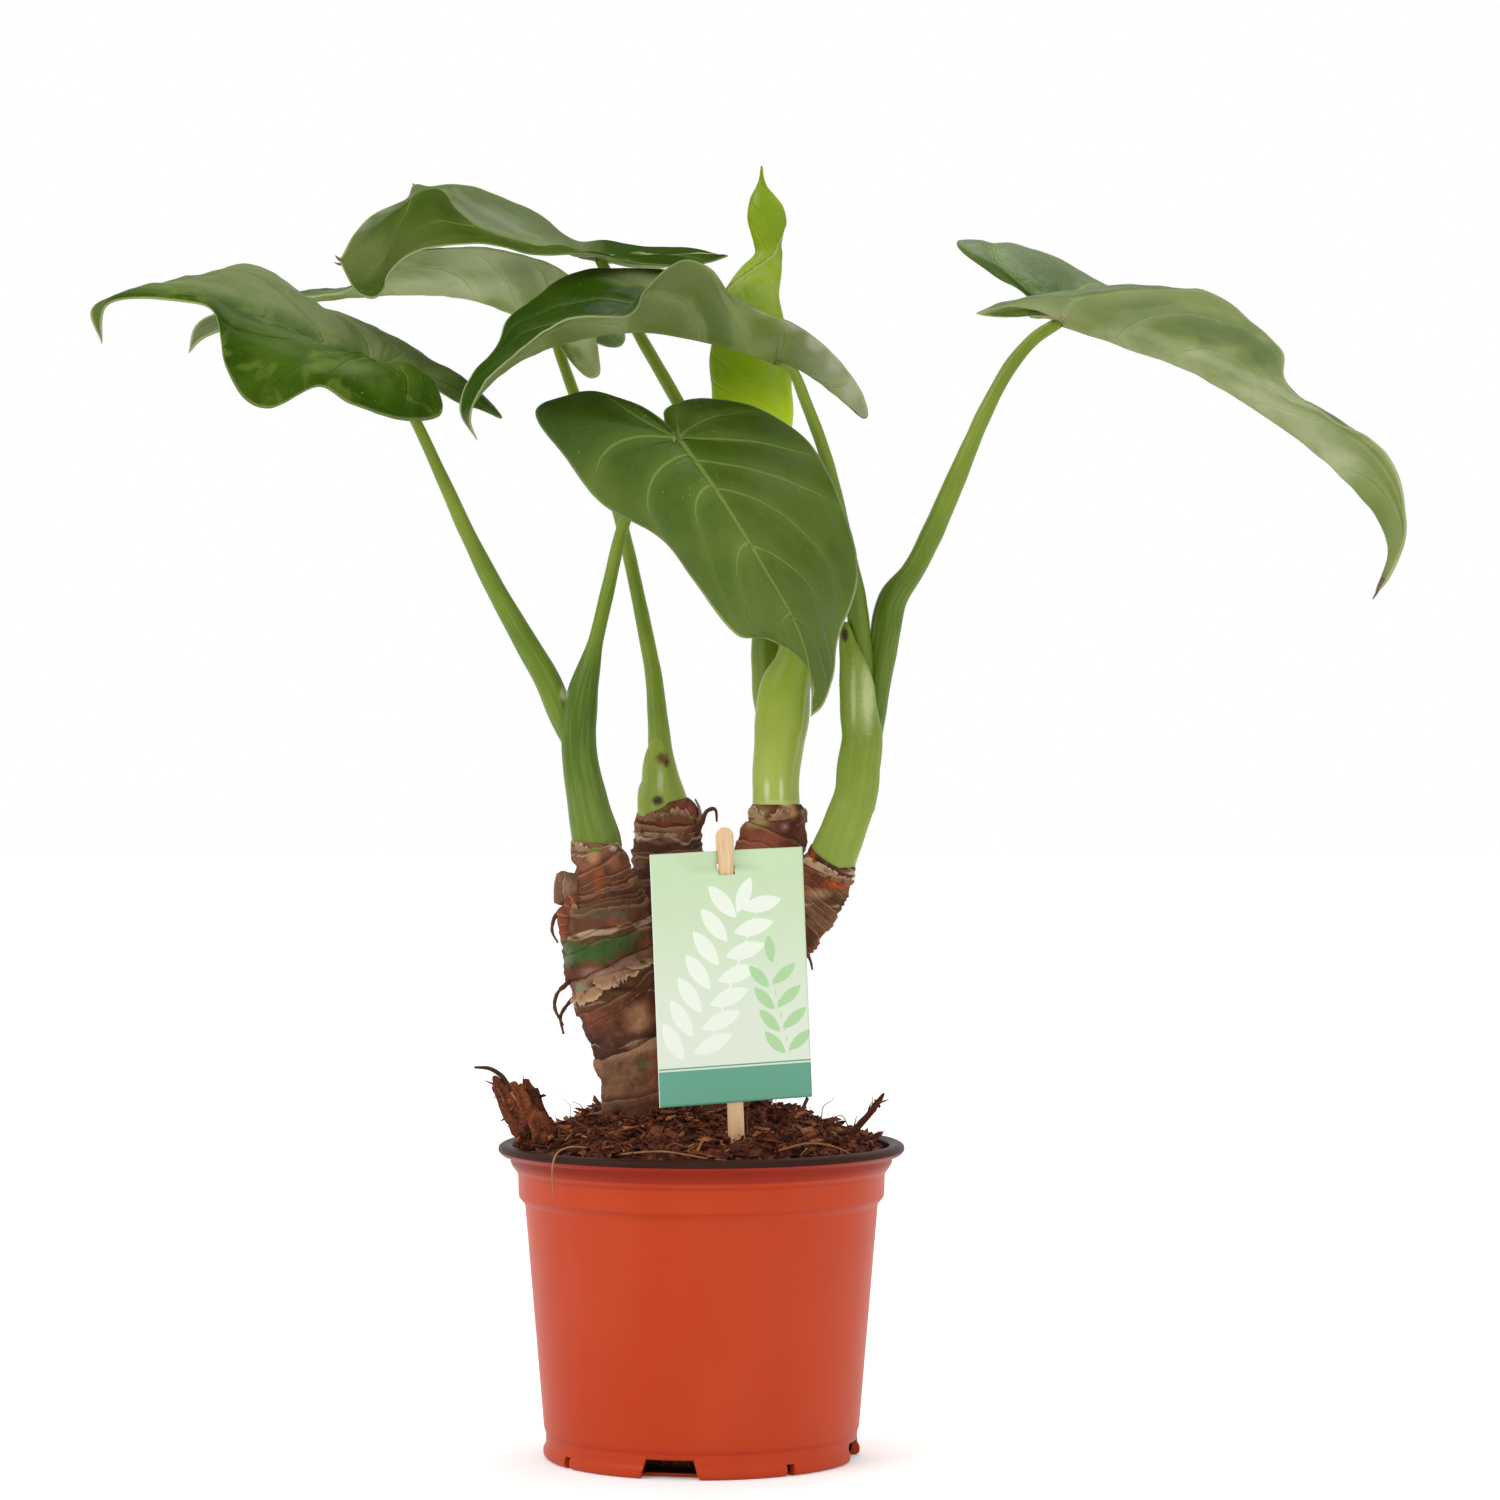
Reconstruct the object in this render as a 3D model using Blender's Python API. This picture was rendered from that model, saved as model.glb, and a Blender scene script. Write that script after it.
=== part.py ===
"""Alocasia cucullata in a plastic nursery pot, with a care card on a wooden stick.

Lengths are in millimetres here, and mesh_object turns them into metres. The pot stands on z = 0 with its axis on
the origin, x runs to the right and y away from the viewer.
"""

import math

import bmesh
import bpy
import numpy as np
from mathutils import Matrix

MM = 0.001
GAP = 0.3  # clearance between pieces that touch
CUT_OVERSHOOT = 2.0  # how far a cutter reaches past what it cuts
CURVE_STEPS = 24  # between two guide points, where a curve is measured
SEED = 7

# Pot, a thin-walled 14 cm nursery pot
POT_HEIGHT = 108.0
RIM_RADIUS = 70.0
COLLAR_RADIUS = 65.7
BAND_RADIUS = 63.0
SHOULDER_RADIUS = 60.8
FOOT_RADIUS = 54.5
GROOVE_RADIUS = FOOT_RADIUS - 0.9
SHOULDER_HEIGHT = 87.0
WALL = 1.0
FLOOR = 1.2
POT_SIDES = 48
NOTCH_HEIGHT = 6.6
NOTCH_TOP_WIDTH = 16.0
NOTCH_FOOT_WIDTH = 22.0
NOTCH_DEPTH = 8.0  # inwards from the foot
NOTCH_TURN = -11.0  # degrees from the front, clockwise seen from above
NOTCH_COUNT = 4
NICK_WIDTH = 3.0
NICK_HEIGHT = 4.0
NICK_DEPTH = 6.0

# Profile of the pot, (radius, height), up its outside and then down its inside
POT_OUTSIDE = [
    (0, 0), (FOOT_RADIUS - 1.2, 0), (FOOT_RADIUS, 1.0), (FOOT_RADIUS, 3.2), (GROOVE_RADIUS, 4.4),
    (GROOVE_RADIUS, 8.4), (FOOT_RADIUS - 0.2, 10.4), (SHOULDER_RADIUS, SHOULDER_HEIGHT),
    (BAND_RADIUS, SHOULDER_HEIGHT + 2.6), (BAND_RADIUS + 0.2, POT_HEIGHT - 10.6),
    (COLLAR_RADIUS, POT_HEIGHT - 7), (COLLAR_RADIUS, POT_HEIGHT - 4.8), (RIM_RADIUS - 1.4, POT_HEIGHT - 4.8),
    (RIM_RADIUS, POT_HEIGHT - 3.4), (RIM_RADIUS - 0.2, POT_HEIGHT - 1.2), (RIM_RADIUS - 2, POT_HEIGHT),
]
POT_INSIDE = [
    (COLLAR_RADIUS - WALL, POT_HEIGHT - 0.8), (COLLAR_RADIUS - WALL, POT_HEIGHT - 6.8),
    (BAND_RADIUS - WALL, POT_HEIGHT - 10.4), (BAND_RADIUS - WALL - 0.1, SHOULDER_HEIGHT + 3),
    (SHOULDER_RADIUS - WALL, SHOULDER_HEIGHT + 0.4), (GROOVE_RADIUS - WALL, 9), (GROOVE_RADIUS - WALL - 1, FLOOR),
    (0, FLOOR),
]

# Soil
SOIL_EDGE = 103.5  # height where it meets the pot
SOIL_MOUND = 18.0  # how far the middle stands above the edge
SOIL_ROUGHNESS = 1.6
SOIL_GRAIN = 0.8  # share of the roughness that is random
SOIL_WAVES = ((3, 9, 0.7), (7, -5, 0.5))  # lumps round the pot, radius over which they shift, share of roughness
SOIL_CALM = 0.25  # share of the mound, from the wall inwards, over which the lumps grow
SOIL_RINGS = (COLLAR_RADIUS - WALL - 0.9, 56, 47, 38, 29, 19, 9)  # radii of its surface's rings
ROOT_DEPTH = 84.0  # height of the buried ends of the trunks
HOLE_TOP = 132.0
HOLE_SIDES = 20

# Profile of the soil below its surface, (radius, height). It leaves air behind the drain notches.
SOIL_UNDERSIDE = [
    (0, FLOOR + GAP), (FOOT_RADIUS - 14, FLOOR + GAP), (GROOVE_RADIUS - WALL - 1.7, 12),
    (SHOULDER_RADIUS - WALL - 0.5, SHOULDER_HEIGHT + 0.4), (BAND_RADIUS - WALL - 0.6, SHOULDER_HEIGHT + 3.6),
    (BAND_RADIUS - WALL - 0.5, POT_HEIGHT - 10.2), (COLLAR_RADIUS - WALL - 0.6, POT_HEIGHT - 6.4),
]

# Trunks and stalks
TRUNK_SIDES = 11
SCAR_SPACING = 3.6  # between a ring of the bark and the groove above it
SCAR_HEIGHT = 0.65  # how far rings and grooves depart from the trunk's radius
SCAR_UNEVENNESS = 0.35
STALK_SIDES = 10
STALK_SPACING = 9.0  # between two rings of points
STALK_END = 0.9  # radius under the blade, as a share of the radius before it

# Leaves
BLADE = 0.8  # thickness
BLADE_ROWS = 24
BLADE_COLUMNS = (0.0, 0.09, 0.42, 0.76, 1.0)  # from midrib to edge
ROWS_PER_VEIN = 3
PLEAT = 0.45  # how far the blade sinks along a side vein
MIDRIB_DEPTH = 1.1  # how far the midrib stands out below, at the stalk

# Care card and its stick
CARD_WIDTH = 54.0
CARD_HEIGHT = 84.0
CARD_THICKNESS = 0.6
CARD_COLUMNS = 7
CARD_CENTRE = (10.5, -50.0, 167.5)
CARD_YAW = 20.0  # degrees, right side further from the viewer
CARD_ROLL = 2.4
SLOT_WIDTH = 8.0
SLOT_HEIGHT = 7.0
SLOT_BELOW_TOP = 9.0  # from the card's top edge to the middle of its slot
STICK_WIDTH = 6.2
STICK_THICKNESS = 1.5
STICK_ABOVE_CARD = 8.0
STICK_FOOT = 74.0  # height of its buried end
STICK_ARC = 8  # straight pieces in its round top

# Colour, as linear red, green and blue, and roughness
FINISHES = {
    "pot": ((0.58, 0.065, 0.021), 0.42),
    "soil": ((0.07, 0.024, 0.011), 0.95),
    "trunks": ((0.17, 0.075, 0.038), 0.85),
    "stalks": ((0.30, 0.44, 0.06), 0.38),
    "new_leaf": ((0.36, 0.52, 0.03), 0.35),
    "blade": ((0.07, 0.16, 0.03), 0.40),
    "card": ((0.52, 0.72, 0.42), 0.45),
    "stick": ((0.72, 0.47, 0.24), 0.60),
}

# Guide points of each blade, (x, y, z). The midrib runs from the stalk to the tip. Each edge runs from the notch
# between the back lobes, round its lobe, to the tip. Left and right are as seen from above, facing the tip.
BLADES = {
    "leaf_front": {
        "midrib": [(-7, -46, 347), (5, -56, 330), (21, -62, 304), (33, -60, 282), (37, -57, 266), (37, -55, 254)],
        "left": [
            (-12, -42, 353), (-12, -38, 357), (1, -30, 362), (25, -25, 356), (38, -24, 346), (53, -28, 310),
            (47, -42, 280), (41, -53, 258), (37, -55, 254),
        ],
        "right": [
            (-12, -42, 353), (-15, -38, 356), (-36, -18, 366), (-46, -14, 365), (-56, -15, 359), (-45, -24, 341),
            (-32, -30, 326), (-12, -41, 312), (-2, -47, 300), (13, -52, 281), (22, -54, 280), (35, -56, 272),
            (38, -56, 264), (37, -55, 254),
        ],
        "lobe_share": 0.40,
        "sag": {"left": (0, -0.12, 0.02), "right": (0, -0.10, 0.02)},
    },
    "leaf_left": {
        "midrib": [(-111, 2, 376), (-132, -2, 383), (-151, -4, 391), (-187, -2, 400), (-207, 1, 397), (-207, 2, 383)],
        "left": [
            (-104, 5, 373), (-95, -2, 370), (-90, -9, 367), (-88, -23, 357), (-101, -33, 354), (-118, -38, 359),
            (-128, -38, 365), (-145, -40, 358), (-152, -39, 360), (-160, -34, 372), (-166, -20, 392),
            (-176, -12, 396), (-205, 0, 396), (-207, 2, 383),
        ],
        "right": [
            (-104, 5, 373), (-95, 13, 370), (-81, 24, 363), (-70, 30, 360), (-76, 37, 370), (-85, 40, 375),
            (-121, 47, 396), (-135, 48, 401), (-159, 42, 415), (-176, 28, 409), (-200, 7, 401), (-211, 3, 395),
            (-207, 2, 383),
        ],
        "lobe_share": 0.42,
        "sag": {"left": (0, -0.22, 0.28), "right": (0, 0.02, 0.14)},
    },
    "leaf_back_high": {
        "midrib": [
            (-37, 45, 418), (-47, 45, 421), (-69, 43, 423), (-85, 41, 432), (-93, 38, 441), (-100, 34, 439),
            (-122, 23, 417), (-127, 20, 414),
        ],
        "left": [
            (-31, 45, 418), (-4, 30, 416), (9, 25, 416), (-4, 12, 412), (-37, 0, 412), (-78, -4, 417),
            (-98, -3, 414), (-109, -1, 406), (-110, 0, 402), (-113, 2, 399), (-119, 6, 401), (-127, 20, 414),
        ],
        "right": [
            (-31, 45, 418), (-19, 56, 420), (-1, 66, 422), (5, 72, 422), (-35, 93, 429), (-47, 94, 429),
            (-62, 93, 439), (-82, 85, 448), (-99, 66, 446), (-104, 60, 446), (-107, 52, 439), (-120, 41, 430),
            (-127, 20, 414),
        ],
        "lobe_share": 0.42,
        "sag": {"left": (0, -0.16, 0.18), "right": (0, 0, -0.12)},
    },
    "leaf_back_low": {
        "midrib": [
            (-55, 88, 396), (-69, 86, 403), (-89, 84, 409), (-130, 80, 408), (-180, 72, 399), (-184, 71, 395),
            (-186, 70, 388),
        ],
        "left": [
            (-52, 88, 395), (-52, 82, 390), (-42, 66, 377), (-37, 58, 378), (-39, 46, 392), (-47, 40, 411),
            (-71, 37, 420), (-86, 38, 422), (-100, 41, 420), (-115, 46, 414), (-128, 56, 409), (-145, 66, 408),
            (-176, 71, 400), (-182, 71, 396), (-186, 70, 388),
        ],
        "right": [
            (-52, 88, 395), (-42, 96, 394), (-32, 104, 392), (-29, 112, 396), (-33, 122, 405), (-43, 130, 413),
            (-57, 134, 418), (-73, 134, 423), (-92, 130, 424), (-114, 120, 420), (-131, 104, 413),
            (-148, 90, 410), (-178, 74, 400), (-183, 72, 396), (-186, 70, 388),
        ],
        "lobe_share": 0.40,
        "sag": {"left": (0, -0.05, 0.10), "right": (0, 0.05, 0.10)},
    },
    "leaf_centre": {
        "midrib": [
            (26, -28, 375), (21, -29, 377), (-23, -33, 385), (-63, -37, 373), (-78, -39, 355), (-75, -38, 347),
        ],
        "left": [
            (30, -28, 374), (45, -48, 367), (50, -54, 359), (53, -57, 353), (55, -60, 353), (53, -63, 361),
            (35, -69, 381), (11, -72, 393), (4, -72, 401), (-5, -72, 404), (-18, -71, 395), (-23, -70, 388),
            (-41, -66, 386), (-54, -57, 379), (-72, -45, 366), (-77, -40, 354), (-75, -38, 347),
        ],
        "right": [
            (30, -28, 374), (35, -22, 372), (45, -17, 368), (47, -10, 373), (41, -3, 382), (10, 9, 400),
            (-4, 12, 408), (-34, 12, 411), (-50, 7, 406), (-66, -9, 390), (-68, -16, 383), (-78, -29, 369),
            (-81, -36, 357), (-75, -38, 347),
        ],
        "lobe_share": 0.40,
        "sag": {"left": (0, -0.08, 0.12), "right": (0, 0.04, 0.04)},
    },
    "leaf_right": {
        "midrib": [(124, 0, 391), (147, 0, 383), (174, 0, 372), (222, 0, 337), (237, 0, 314), (232, 0, 296)],
        "left": [
            (120, 0, 392), (109, 18, 404), (90, 42, 422), (102, 54, 426), (124, 60, 421), (146, 60, 409),
            (180, 58, 398), (195, 54, 387), (214, 36, 362), (227, 26, 351), (236, 16, 339), (241, 5, 316),
            (232, 0, 296),
        ],
        "right": [
            (120, 0, 392), (117, -8, 392), (105, -22, 390), (93, -34, 390), (109, -50, 392), (144, -57, 396),
            (168, -56, 395), (182, -54, 387), (194, -49, 376), (195, -45, 368), (199, -42, 363), (216, -34, 355),
            (225, -28, 351), (236, -18, 338), (242, -7, 318), (237, -1, 302), (232, 0, 296),
        ],
        "lobe_share": 0.36,
        "sag": {"left": (0, 0.06, 0.14), "right": (0, -0.06, 0.14)},
    },
}

# Guide points of each stem, (x, y, z, radius), from the ground up
TRUNKS = {
    "left": [
        (-19, -6, 128, 15.5), (-21, -7, 139, 15.8), (-25, -8, 154, 16.5), (-30, -9, 168, 16.5), (-32, -10, 181, 15.1),
        (-32, -10, 192, 13.0), (-34, -10, 204, 9.2), (-36, -10, 210, 8.8),
    ],
    "middle": [
        (-4, 6, 128, 15.2), (-8, 12, 142, 14.6), (-11, 17, 170, 13.9), (-12, 20, 191, 13.3), (-12, 22, 208, 12.2),
        (-12, 22, 217, 11.2), (-12, 22, 222, 10.0),
    ],
    "centre": [
        (1, 0, 128, 15.2), (7, 3, 143, 14.2), (14, 5, 170, 13.1), (20, 6, 195, 12.5), (24, 6, 210, 11.8),
        (26, 6, 217, 10.2), (26, 6, 222, 9.2),
    ],
    "right": [
        (5, -4, 128, 13.1), (13, -5, 147, 10.7), (23, -7, 166, 9.3), (31, -8, 180, 9.3), (37, -8, 189, 9.8),
        (41, -9, 197, 9.8), (44, -9, 204, 9.0),
    ],
}
STALKS = {
    "to_front": [
        (-36, -10, 211, 8.4), (-39, -10, 225, 7.0), (-42, -10, 243, 6.0), (-41, -11, 260, 5.6), (-38, -11, 273, 3.8),
        (-36, -11, 281, 2.6), (-32, -10, 298, 2.4), (-27, -10, 319, 2.1), (-20, -18, 335, 2.0), (-12, -32, 344, 1.9),
    ],
    "to_left": [
        (-40, -7, 238, 3.4), (-47, -5, 253, 4.5), (-53, -4, 267, 4.5), (-64, -2, 286, 3.8), (-78, 0, 312, 2.9),
        (-90, 1, 338, 2.2), (-99, 1, 357, 1.9),
    ],
    "to_back_low": [
        (-12, 22, 223, 7.2), (-14, 22, 234, 5.6), (-15, 24, 245, 4.2), (-17, 31, 267, 3.0), (-21, 38, 288, 2.6),
        (-30, 53, 327, 2.2), (-38, 66, 350, 2.1), (-47, 79, 372, 2.1), (-53, 87, 389, 2.0),
    ],
    "to_back_high": [
        (26, 6, 223, 8.2), (26, 6, 236, 8.3), (27, 6, 245, 8.8), (28, 5, 254, 9.5), (29, 4, 264, 9.0),
        (32, 3, 274, 6.9), (32, 4, 283, 4.8), (29, 6, 295, 3.6), (21, 10, 311, 3.0), (10, 18, 330, 2.6),
        (-9, 31, 366, 2.3), (-23, 39, 391, 2.1),
    ],
    "to_centre": [
        (57, -1, 260, 3.4), (55, -3, 277, 3.8), (53, -5, 295, 3.6), (49, -8, 315, 2.9), (43, -12, 342, 2.2),
        (36, -17, 361, 2.0), (31, -23, 372, 1.8),
    ],
    "to_right": [
        (57, 0, 240, 4.1), (60, 0, 262, 4.8), (63, 0, 281, 5.2), (66, 0, 295, 5.0), (73, 0, 305, 3.8),
        (81, 0, 321, 3.8), (88, 0, 337, 3.4), (98, 0, 360, 2.6), (107, 0, 376, 2.4), (115, 0, 385, 2.2),
    ],
    "cut_stub": [
        (45, -9, 205, 8.4), (49, -10, 216, 7.9), (53, -10, 228, 7.5), (54, -10, 238, 7.4), (55, -9, 247, 7.0),
        (53, -8, 262, 6.0), (51, -7, 277, 4.1), (50, -7, 285, 2.1),
    ],
    "old_sheath": [(-15, 20, 226, 6.6), (-17, 18, 232, 5.4), (-18, 18, 241, 4.0)],
    "to_new_leaf": [(24, 9, 255, 4.9), (23, 13, 266, 5.7), (23, 18, 281, 5.8), (23, 22, 295, 5.6), (22, 27, 310, 5.6)],
}
NEW_LEAF = [
    (22, 28, 311, 5.6), (20, 32, 324, 8.1), (18, 38, 349, 12.4), (17, 41, 367, 13.8), (16, 42, 387, 13.5),
    (17, 42, 403, 10.3), (21, 42, 414, 7.1), (24, 42, 420, 5.1), (23, 42, 426, 5.7), (23, 42, 433, 6.9),
    (21, 42, 439, 4.6), (21, 42, 444, 1.4), (21, 42, 450, 0.5),
]
NEW_LEAF_RINGS = 18
NEW_LEAF_SIDES = 14
NEW_LEAF_FLATNESS = 0.55
NEW_LEAF_STEP = 0.16  # how far its outer edge stands proud, as a share of the radius
NEW_LEAF_EDGE_START = -0.5  # turns from the right side where that edge lies at the foot
NEW_LEAF_EDGE_TWIST = 0.35  # turns that it climbs by the tip

# Which blade each stalk carries
CARRIES = {
    "to_front": "leaf_front",
    "to_left": "leaf_left",
    "to_back_low": "leaf_back_low",
    "to_back_high": "leaf_back_high",
    "to_centre": "leaf_centre",
    "to_right": "leaf_right",
}

SIDE_STUB = [(-38, -10, 190, 5.0), (-45, -10, 188, 4.6), (-50, -9, 189, 4.4)]  # a cut shoot on the left trunk
BARK_CHUNK = [(-50, -10, 99, 6.0), (-55, -11, 112, 6.5), (-59, -10, 121, 5.0), (-64, -10, 131, 1.6)]
BARK_TWIG = [(46, -9, 104, 1.6), (52, -10, 112, 1.3), (58, -10, 119, 1.1), (61, -10, 123, 0.7)]


def clear_scene():
    for obj in list(bpy.data.objects):
        bpy.data.objects.remove(obj, do_unlink=True)


def material(node, kind):
    colour, roughness = FINISHES[kind]
    made = bpy.data.materials.new(f"{node}_finish")
    made.use_nodes = True
    shader = made.node_tree.nodes["Principled BSDF"]
    shader.inputs["Base Color"].default_value = (*colour, 1)
    shader.inputs["Roughness"].default_value = roughness
    shader.inputs["Metallic"].default_value = 0
    made.diffuse_color = (*colour, 1)
    return made


def mesh_object(name, points, faces, finish=None, smooth=True):
    mesh = bpy.data.meshes.new(name)
    mesh.from_pydata([tuple(p * MM) for p in np.asarray(points, float)], [], faces)
    shape = bmesh.new()
    shape.from_mesh(mesh)
    bmesh.ops.recalc_face_normals(shape, faces=shape.faces)
    shape.to_mesh(mesh)
    shape.free()
    if smooth:
        mesh.shade_smooth()
    obj = bpy.data.objects.new(name, mesh)
    bpy.context.scene.collection.objects.link(obj)
    if finish:
        mesh.materials.append(finish)
    return obj


def helper(obj):
    """Keeps a cutter, or a shape that is joined to another, out of the part."""
    obj.hide_render = True
    obj.display_type = "WIRE"
    return obj


def combine(obj, others, operation):
    for other in others:
        step = obj.modifiers.new(other.name, "BOOLEAN")
        step.operation = operation
        step.solver = "EXACT"
        step.object = helper(other)


def smooth_path(points, shares):
    """A smooth curve through the points, read at these shares of its length."""
    points = np.asarray(points, float)
    spans = np.linalg.norm(np.diff(points[:, :3], axis=0), axis=1)
    knots = np.concatenate([[0], np.cumsum(np.sqrt(spans))])
    slopes = np.gradient(points, knots, axis=0)
    w = np.linspace(0, 1, CURVE_STEPS)[:, None]
    dense = []
    for i, step in enumerate(np.diff(knots)):
        start, end = points[i], points[i + 1]
        curve = (2 * w**3 - 3 * w**2 + 1) * start + (3 * w**2 - 2 * w**3) * end
        curve += step * ((w**3 - 2 * w**2 + w) * slopes[i] + (w**3 - w**2) * slopes[i + 1])
        dense.append(curve)
    dense = np.concatenate(dense)
    run = np.concatenate([[0], np.cumsum(np.linalg.norm(np.diff(dense[:, :3], axis=0), axis=1))])
    at = np.asarray(shares) * run[-1]
    return np.stack([np.interp(at, run, column) for column in dense.T], axis=-1)


def unit(vector):
    vector = np.asarray(vector, float)
    return vector / np.linalg.norm(vector)


def skin(rings):
    """Points and faces of a closed surface over rings of points. A ring of one point closes an end."""
    points, starts, faces = [], [], []
    for ring in rings:
        starts.append(len(points))
        points.extend(np.atleast_2d(ring))
    for k in range(len(rings) - 1):
        a, b = starts[k], starts[k + 1]
        na, nb = len(np.atleast_2d(rings[k])), len(np.atleast_2d(rings[k + 1]))
        for i in range(max(na, nb)):
            j = (i + 1) % max(na, nb)
            if na == 1:
                faces.append((a, b + i, b + j))
            elif nb == 1:
                faces.append((a + j, a + i, b))
            else:
                faces.append((a + i, a + j, b + j, b + i))
    return points, faces


def circle(sides):
    turns = np.arange(sides) * 2 * math.pi / sides
    return np.cos(turns), np.sin(turns)


def tube_rings(guide, sides, count, flatness=1.0, start_normal=None, end_normal=None, relief=None):
    """Rings square to a path of (x, y, z, radius), with a point to close each end. Flatness scales its depth."""
    path = smooth_path(guide, np.linspace(0, 1, count))
    forward = np.gradient(path[:, :3], axis=0)
    if start_normal is not None:
        forward[0] = start_normal
    if end_normal is not None:
        forward[-1] = end_normal
    cosines, sines = circle(sides)
    rings = []
    for k, (*centre, radius) in enumerate(path):
        ahead = unit(forward[k])
        side = unit(np.cross((0, 1, 0), ahead))
        back = np.cross(ahead, side)
        reach = radius if relief is None else radius + relief(k, sides)
        ring = centre + np.outer(reach * cosines, side) + np.outer(reach * sines * flatness, back)
        rings.append(ring)
    return [path[0, :3], *rings, path[-1, :3]]


def thicken(points, triangles, above, below):
    """Points and triangles of a closed solid round an open sheet, which reaches this far to its two sides."""
    points = np.asarray(points, float)
    corners = points[triangles]
    across = np.cross(corners[:, 1] - corners[:, 0], corners[:, 2] - corners[:, 0])
    normals = np.zeros_like(points)
    for k in range(3):
        np.add.at(normals, triangles[:, k], across)
    normals /= np.linalg.norm(normals, axis=1, keepdims=True)
    upper = points + normals * above[:, None]
    lower = points - normals * below[:, None]
    count = len(points)
    faces = [tuple(t) for t in triangles] + [tuple(count + t[::-1]) for t in triangles]
    edges = {(t[i], t[(i + 1) % 3]) for t in triangles.tolist() for i in range(3)}
    for a, b in edges:
        if (b, a) not in edges:
            faces += [(b, a, count + a), (b, count + a, count + b)]
    return np.concatenate([upper, lower]), faces


def blade_sheet(blade):
    """Points, triangles, and for each point its share along the midrib and across the blade."""
    shares = np.linspace(0, 1, BLADE_ROWS + 1)
    lobe = blade["lobe_share"]
    along = np.clip((shares - lobe) / (1 - lobe), 0, 1)
    middle = smooth_path(blade["midrib"], along)
    points, places, triangles, known = [], [], [], {}

    def number(point, place):
        key = tuple(np.round(point, 3))
        if key not in known:
            known[key] = len(points)
            points.append(point)
            places.append(place)
        return known[key]

    for side in ("left", "right"):
        edge = smooth_path(blade[side], shares)
        rib = edge - middle
        length = np.linalg.norm(rib, axis=1, keepdims=True)
        bend = (middle + edge) / 2 + length * np.outer(np.minimum(1, shares * 8), blade["sag"][side])
        grid = []
        for i in range(BLADE_ROWS + 1):
            row = []
            for t in BLADE_COLUMNS:
                point = (1 - t) ** 2 * middle[i] + 2 * t * (1 - t) * bend[i] + t**2 * edge[i]
                row.append(number(point, (along[i], t, i)))
            grid.append(row)
        for i in range(BLADE_ROWS):
            for j in range(len(BLADE_COLUMNS) - 1):
                a, b, c, d = grid[i][j], grid[i + 1][j], grid[i + 1][j + 1], grid[i][j + 1]
                for triangle in ((a, b, c), (a, c, d)):
                    if len(set(triangle)) == 3:
                        triangles.append(triangle if side == "left" else triangle[::-1])
    return np.array(points), np.array(triangles), np.array(places)


def blade_solid(blade):
    points, triangles, places = blade_sheet(blade)
    along, across, row = places.T
    fade = np.sin(math.pi * across) * np.minimum(1, 3 * (1 - row / BLADE_ROWS))
    pleat = -PLEAT * fade * np.cos(2 * math.pi * row / ROWS_PER_VEIN)
    midrib = np.where(across == 0, MIDRIB_DEPTH * (1 - along), 0)
    return thicken(points, triangles, BLADE / 2 + pleat, BLADE / 2 - pleat + midrib)


def stalk_seat(blade):
    """Where a stalk ends below its blade, and which way its end faces."""
    points, triangles, _ = blade_sheet(blade)
    joint = np.array(blade["midrib"][0], float)
    at = int(np.argmin(np.linalg.norm(points - joint, axis=1)))
    corners = points[triangles[(triangles == at).any(axis=1)]]
    across = np.cross(corners[:, 1] - corners[:, 0], corners[:, 2] - corners[:, 0])
    facing = unit(across.sum(axis=0))
    return joint - facing * (BLADE / 2 + MIDRIB_DEPTH + GAP), facing


def lathe_rings(profile):
    """Rings of a profile of (radius, height) turned about the pot's axis."""
    cosines, sines = circle(POT_SIDES)
    rings = []
    for radius, height in profile:
        if radius == 0:
            rings.append(np.array([0, 0, height]))
        else:
            rings.append(np.stack([radius * cosines, radius * sines, np.full(POT_SIDES, height)], axis=1))
    return rings


def box(name, width, depth, height, top_width=None):
    """A block standing on z = 0, centred on x and y, and narrower at the top where that is given."""
    foot, top = width / 2, (top_width or width) / 2
    rings = []
    for half, z in ((foot, 0), (top, height)):
        ring = [(-half, -depth / 2, z), (half, -depth / 2, z), (half, depth / 2, z), (-half, depth / 2, z)]
        rings.append(np.array(ring, float))
    points, faces = skin(rings)
    return mesh_object(name, points, faces + [(0, 1, 2, 3), (4, 5, 6, 7)], smooth=False)


def foot_cutter(name, width, height, depth, turn, top_width=None):
    """A block that cuts this far up and in from the pot's foot. Turn is in degrees from the front."""
    reach = depth + CUT_OVERSHOOT
    cutter = box(name, width, reach, height + CUT_OVERSHOOT, top_width)
    angle = math.radians(turn)
    out = FOOT_RADIUS - depth + reach / 2
    cutter.location = (out * math.sin(angle) * MM, -out * math.cos(angle) * MM, -CUT_OVERSHOOT * MM)
    cutter.rotation_euler = (0, 0, angle)
    return cutter


def make_pot():
    rings = lathe_rings(POT_OUTSIDE + POT_INSIDE)
    pot = mesh_object("pot", *skin(rings), material("pot", "pot"))
    cutters = []
    step = 360 / NOTCH_COUNT
    for k in range(NOTCH_COUNT):
        turn = NOTCH_TURN + step * k
        cutters += [
            foot_cutter(f"notch_{k}", NOTCH_FOOT_WIDTH, NOTCH_HEIGHT, NOTCH_DEPTH, turn, NOTCH_TOP_WIDTH),
            foot_cutter(f"nick_{k}", NICK_WIDTH, NICK_HEIGHT, NICK_DEPTH, turn + step / 2),
        ]
    combine(pot, cutters, "DIFFERENCE")


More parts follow.
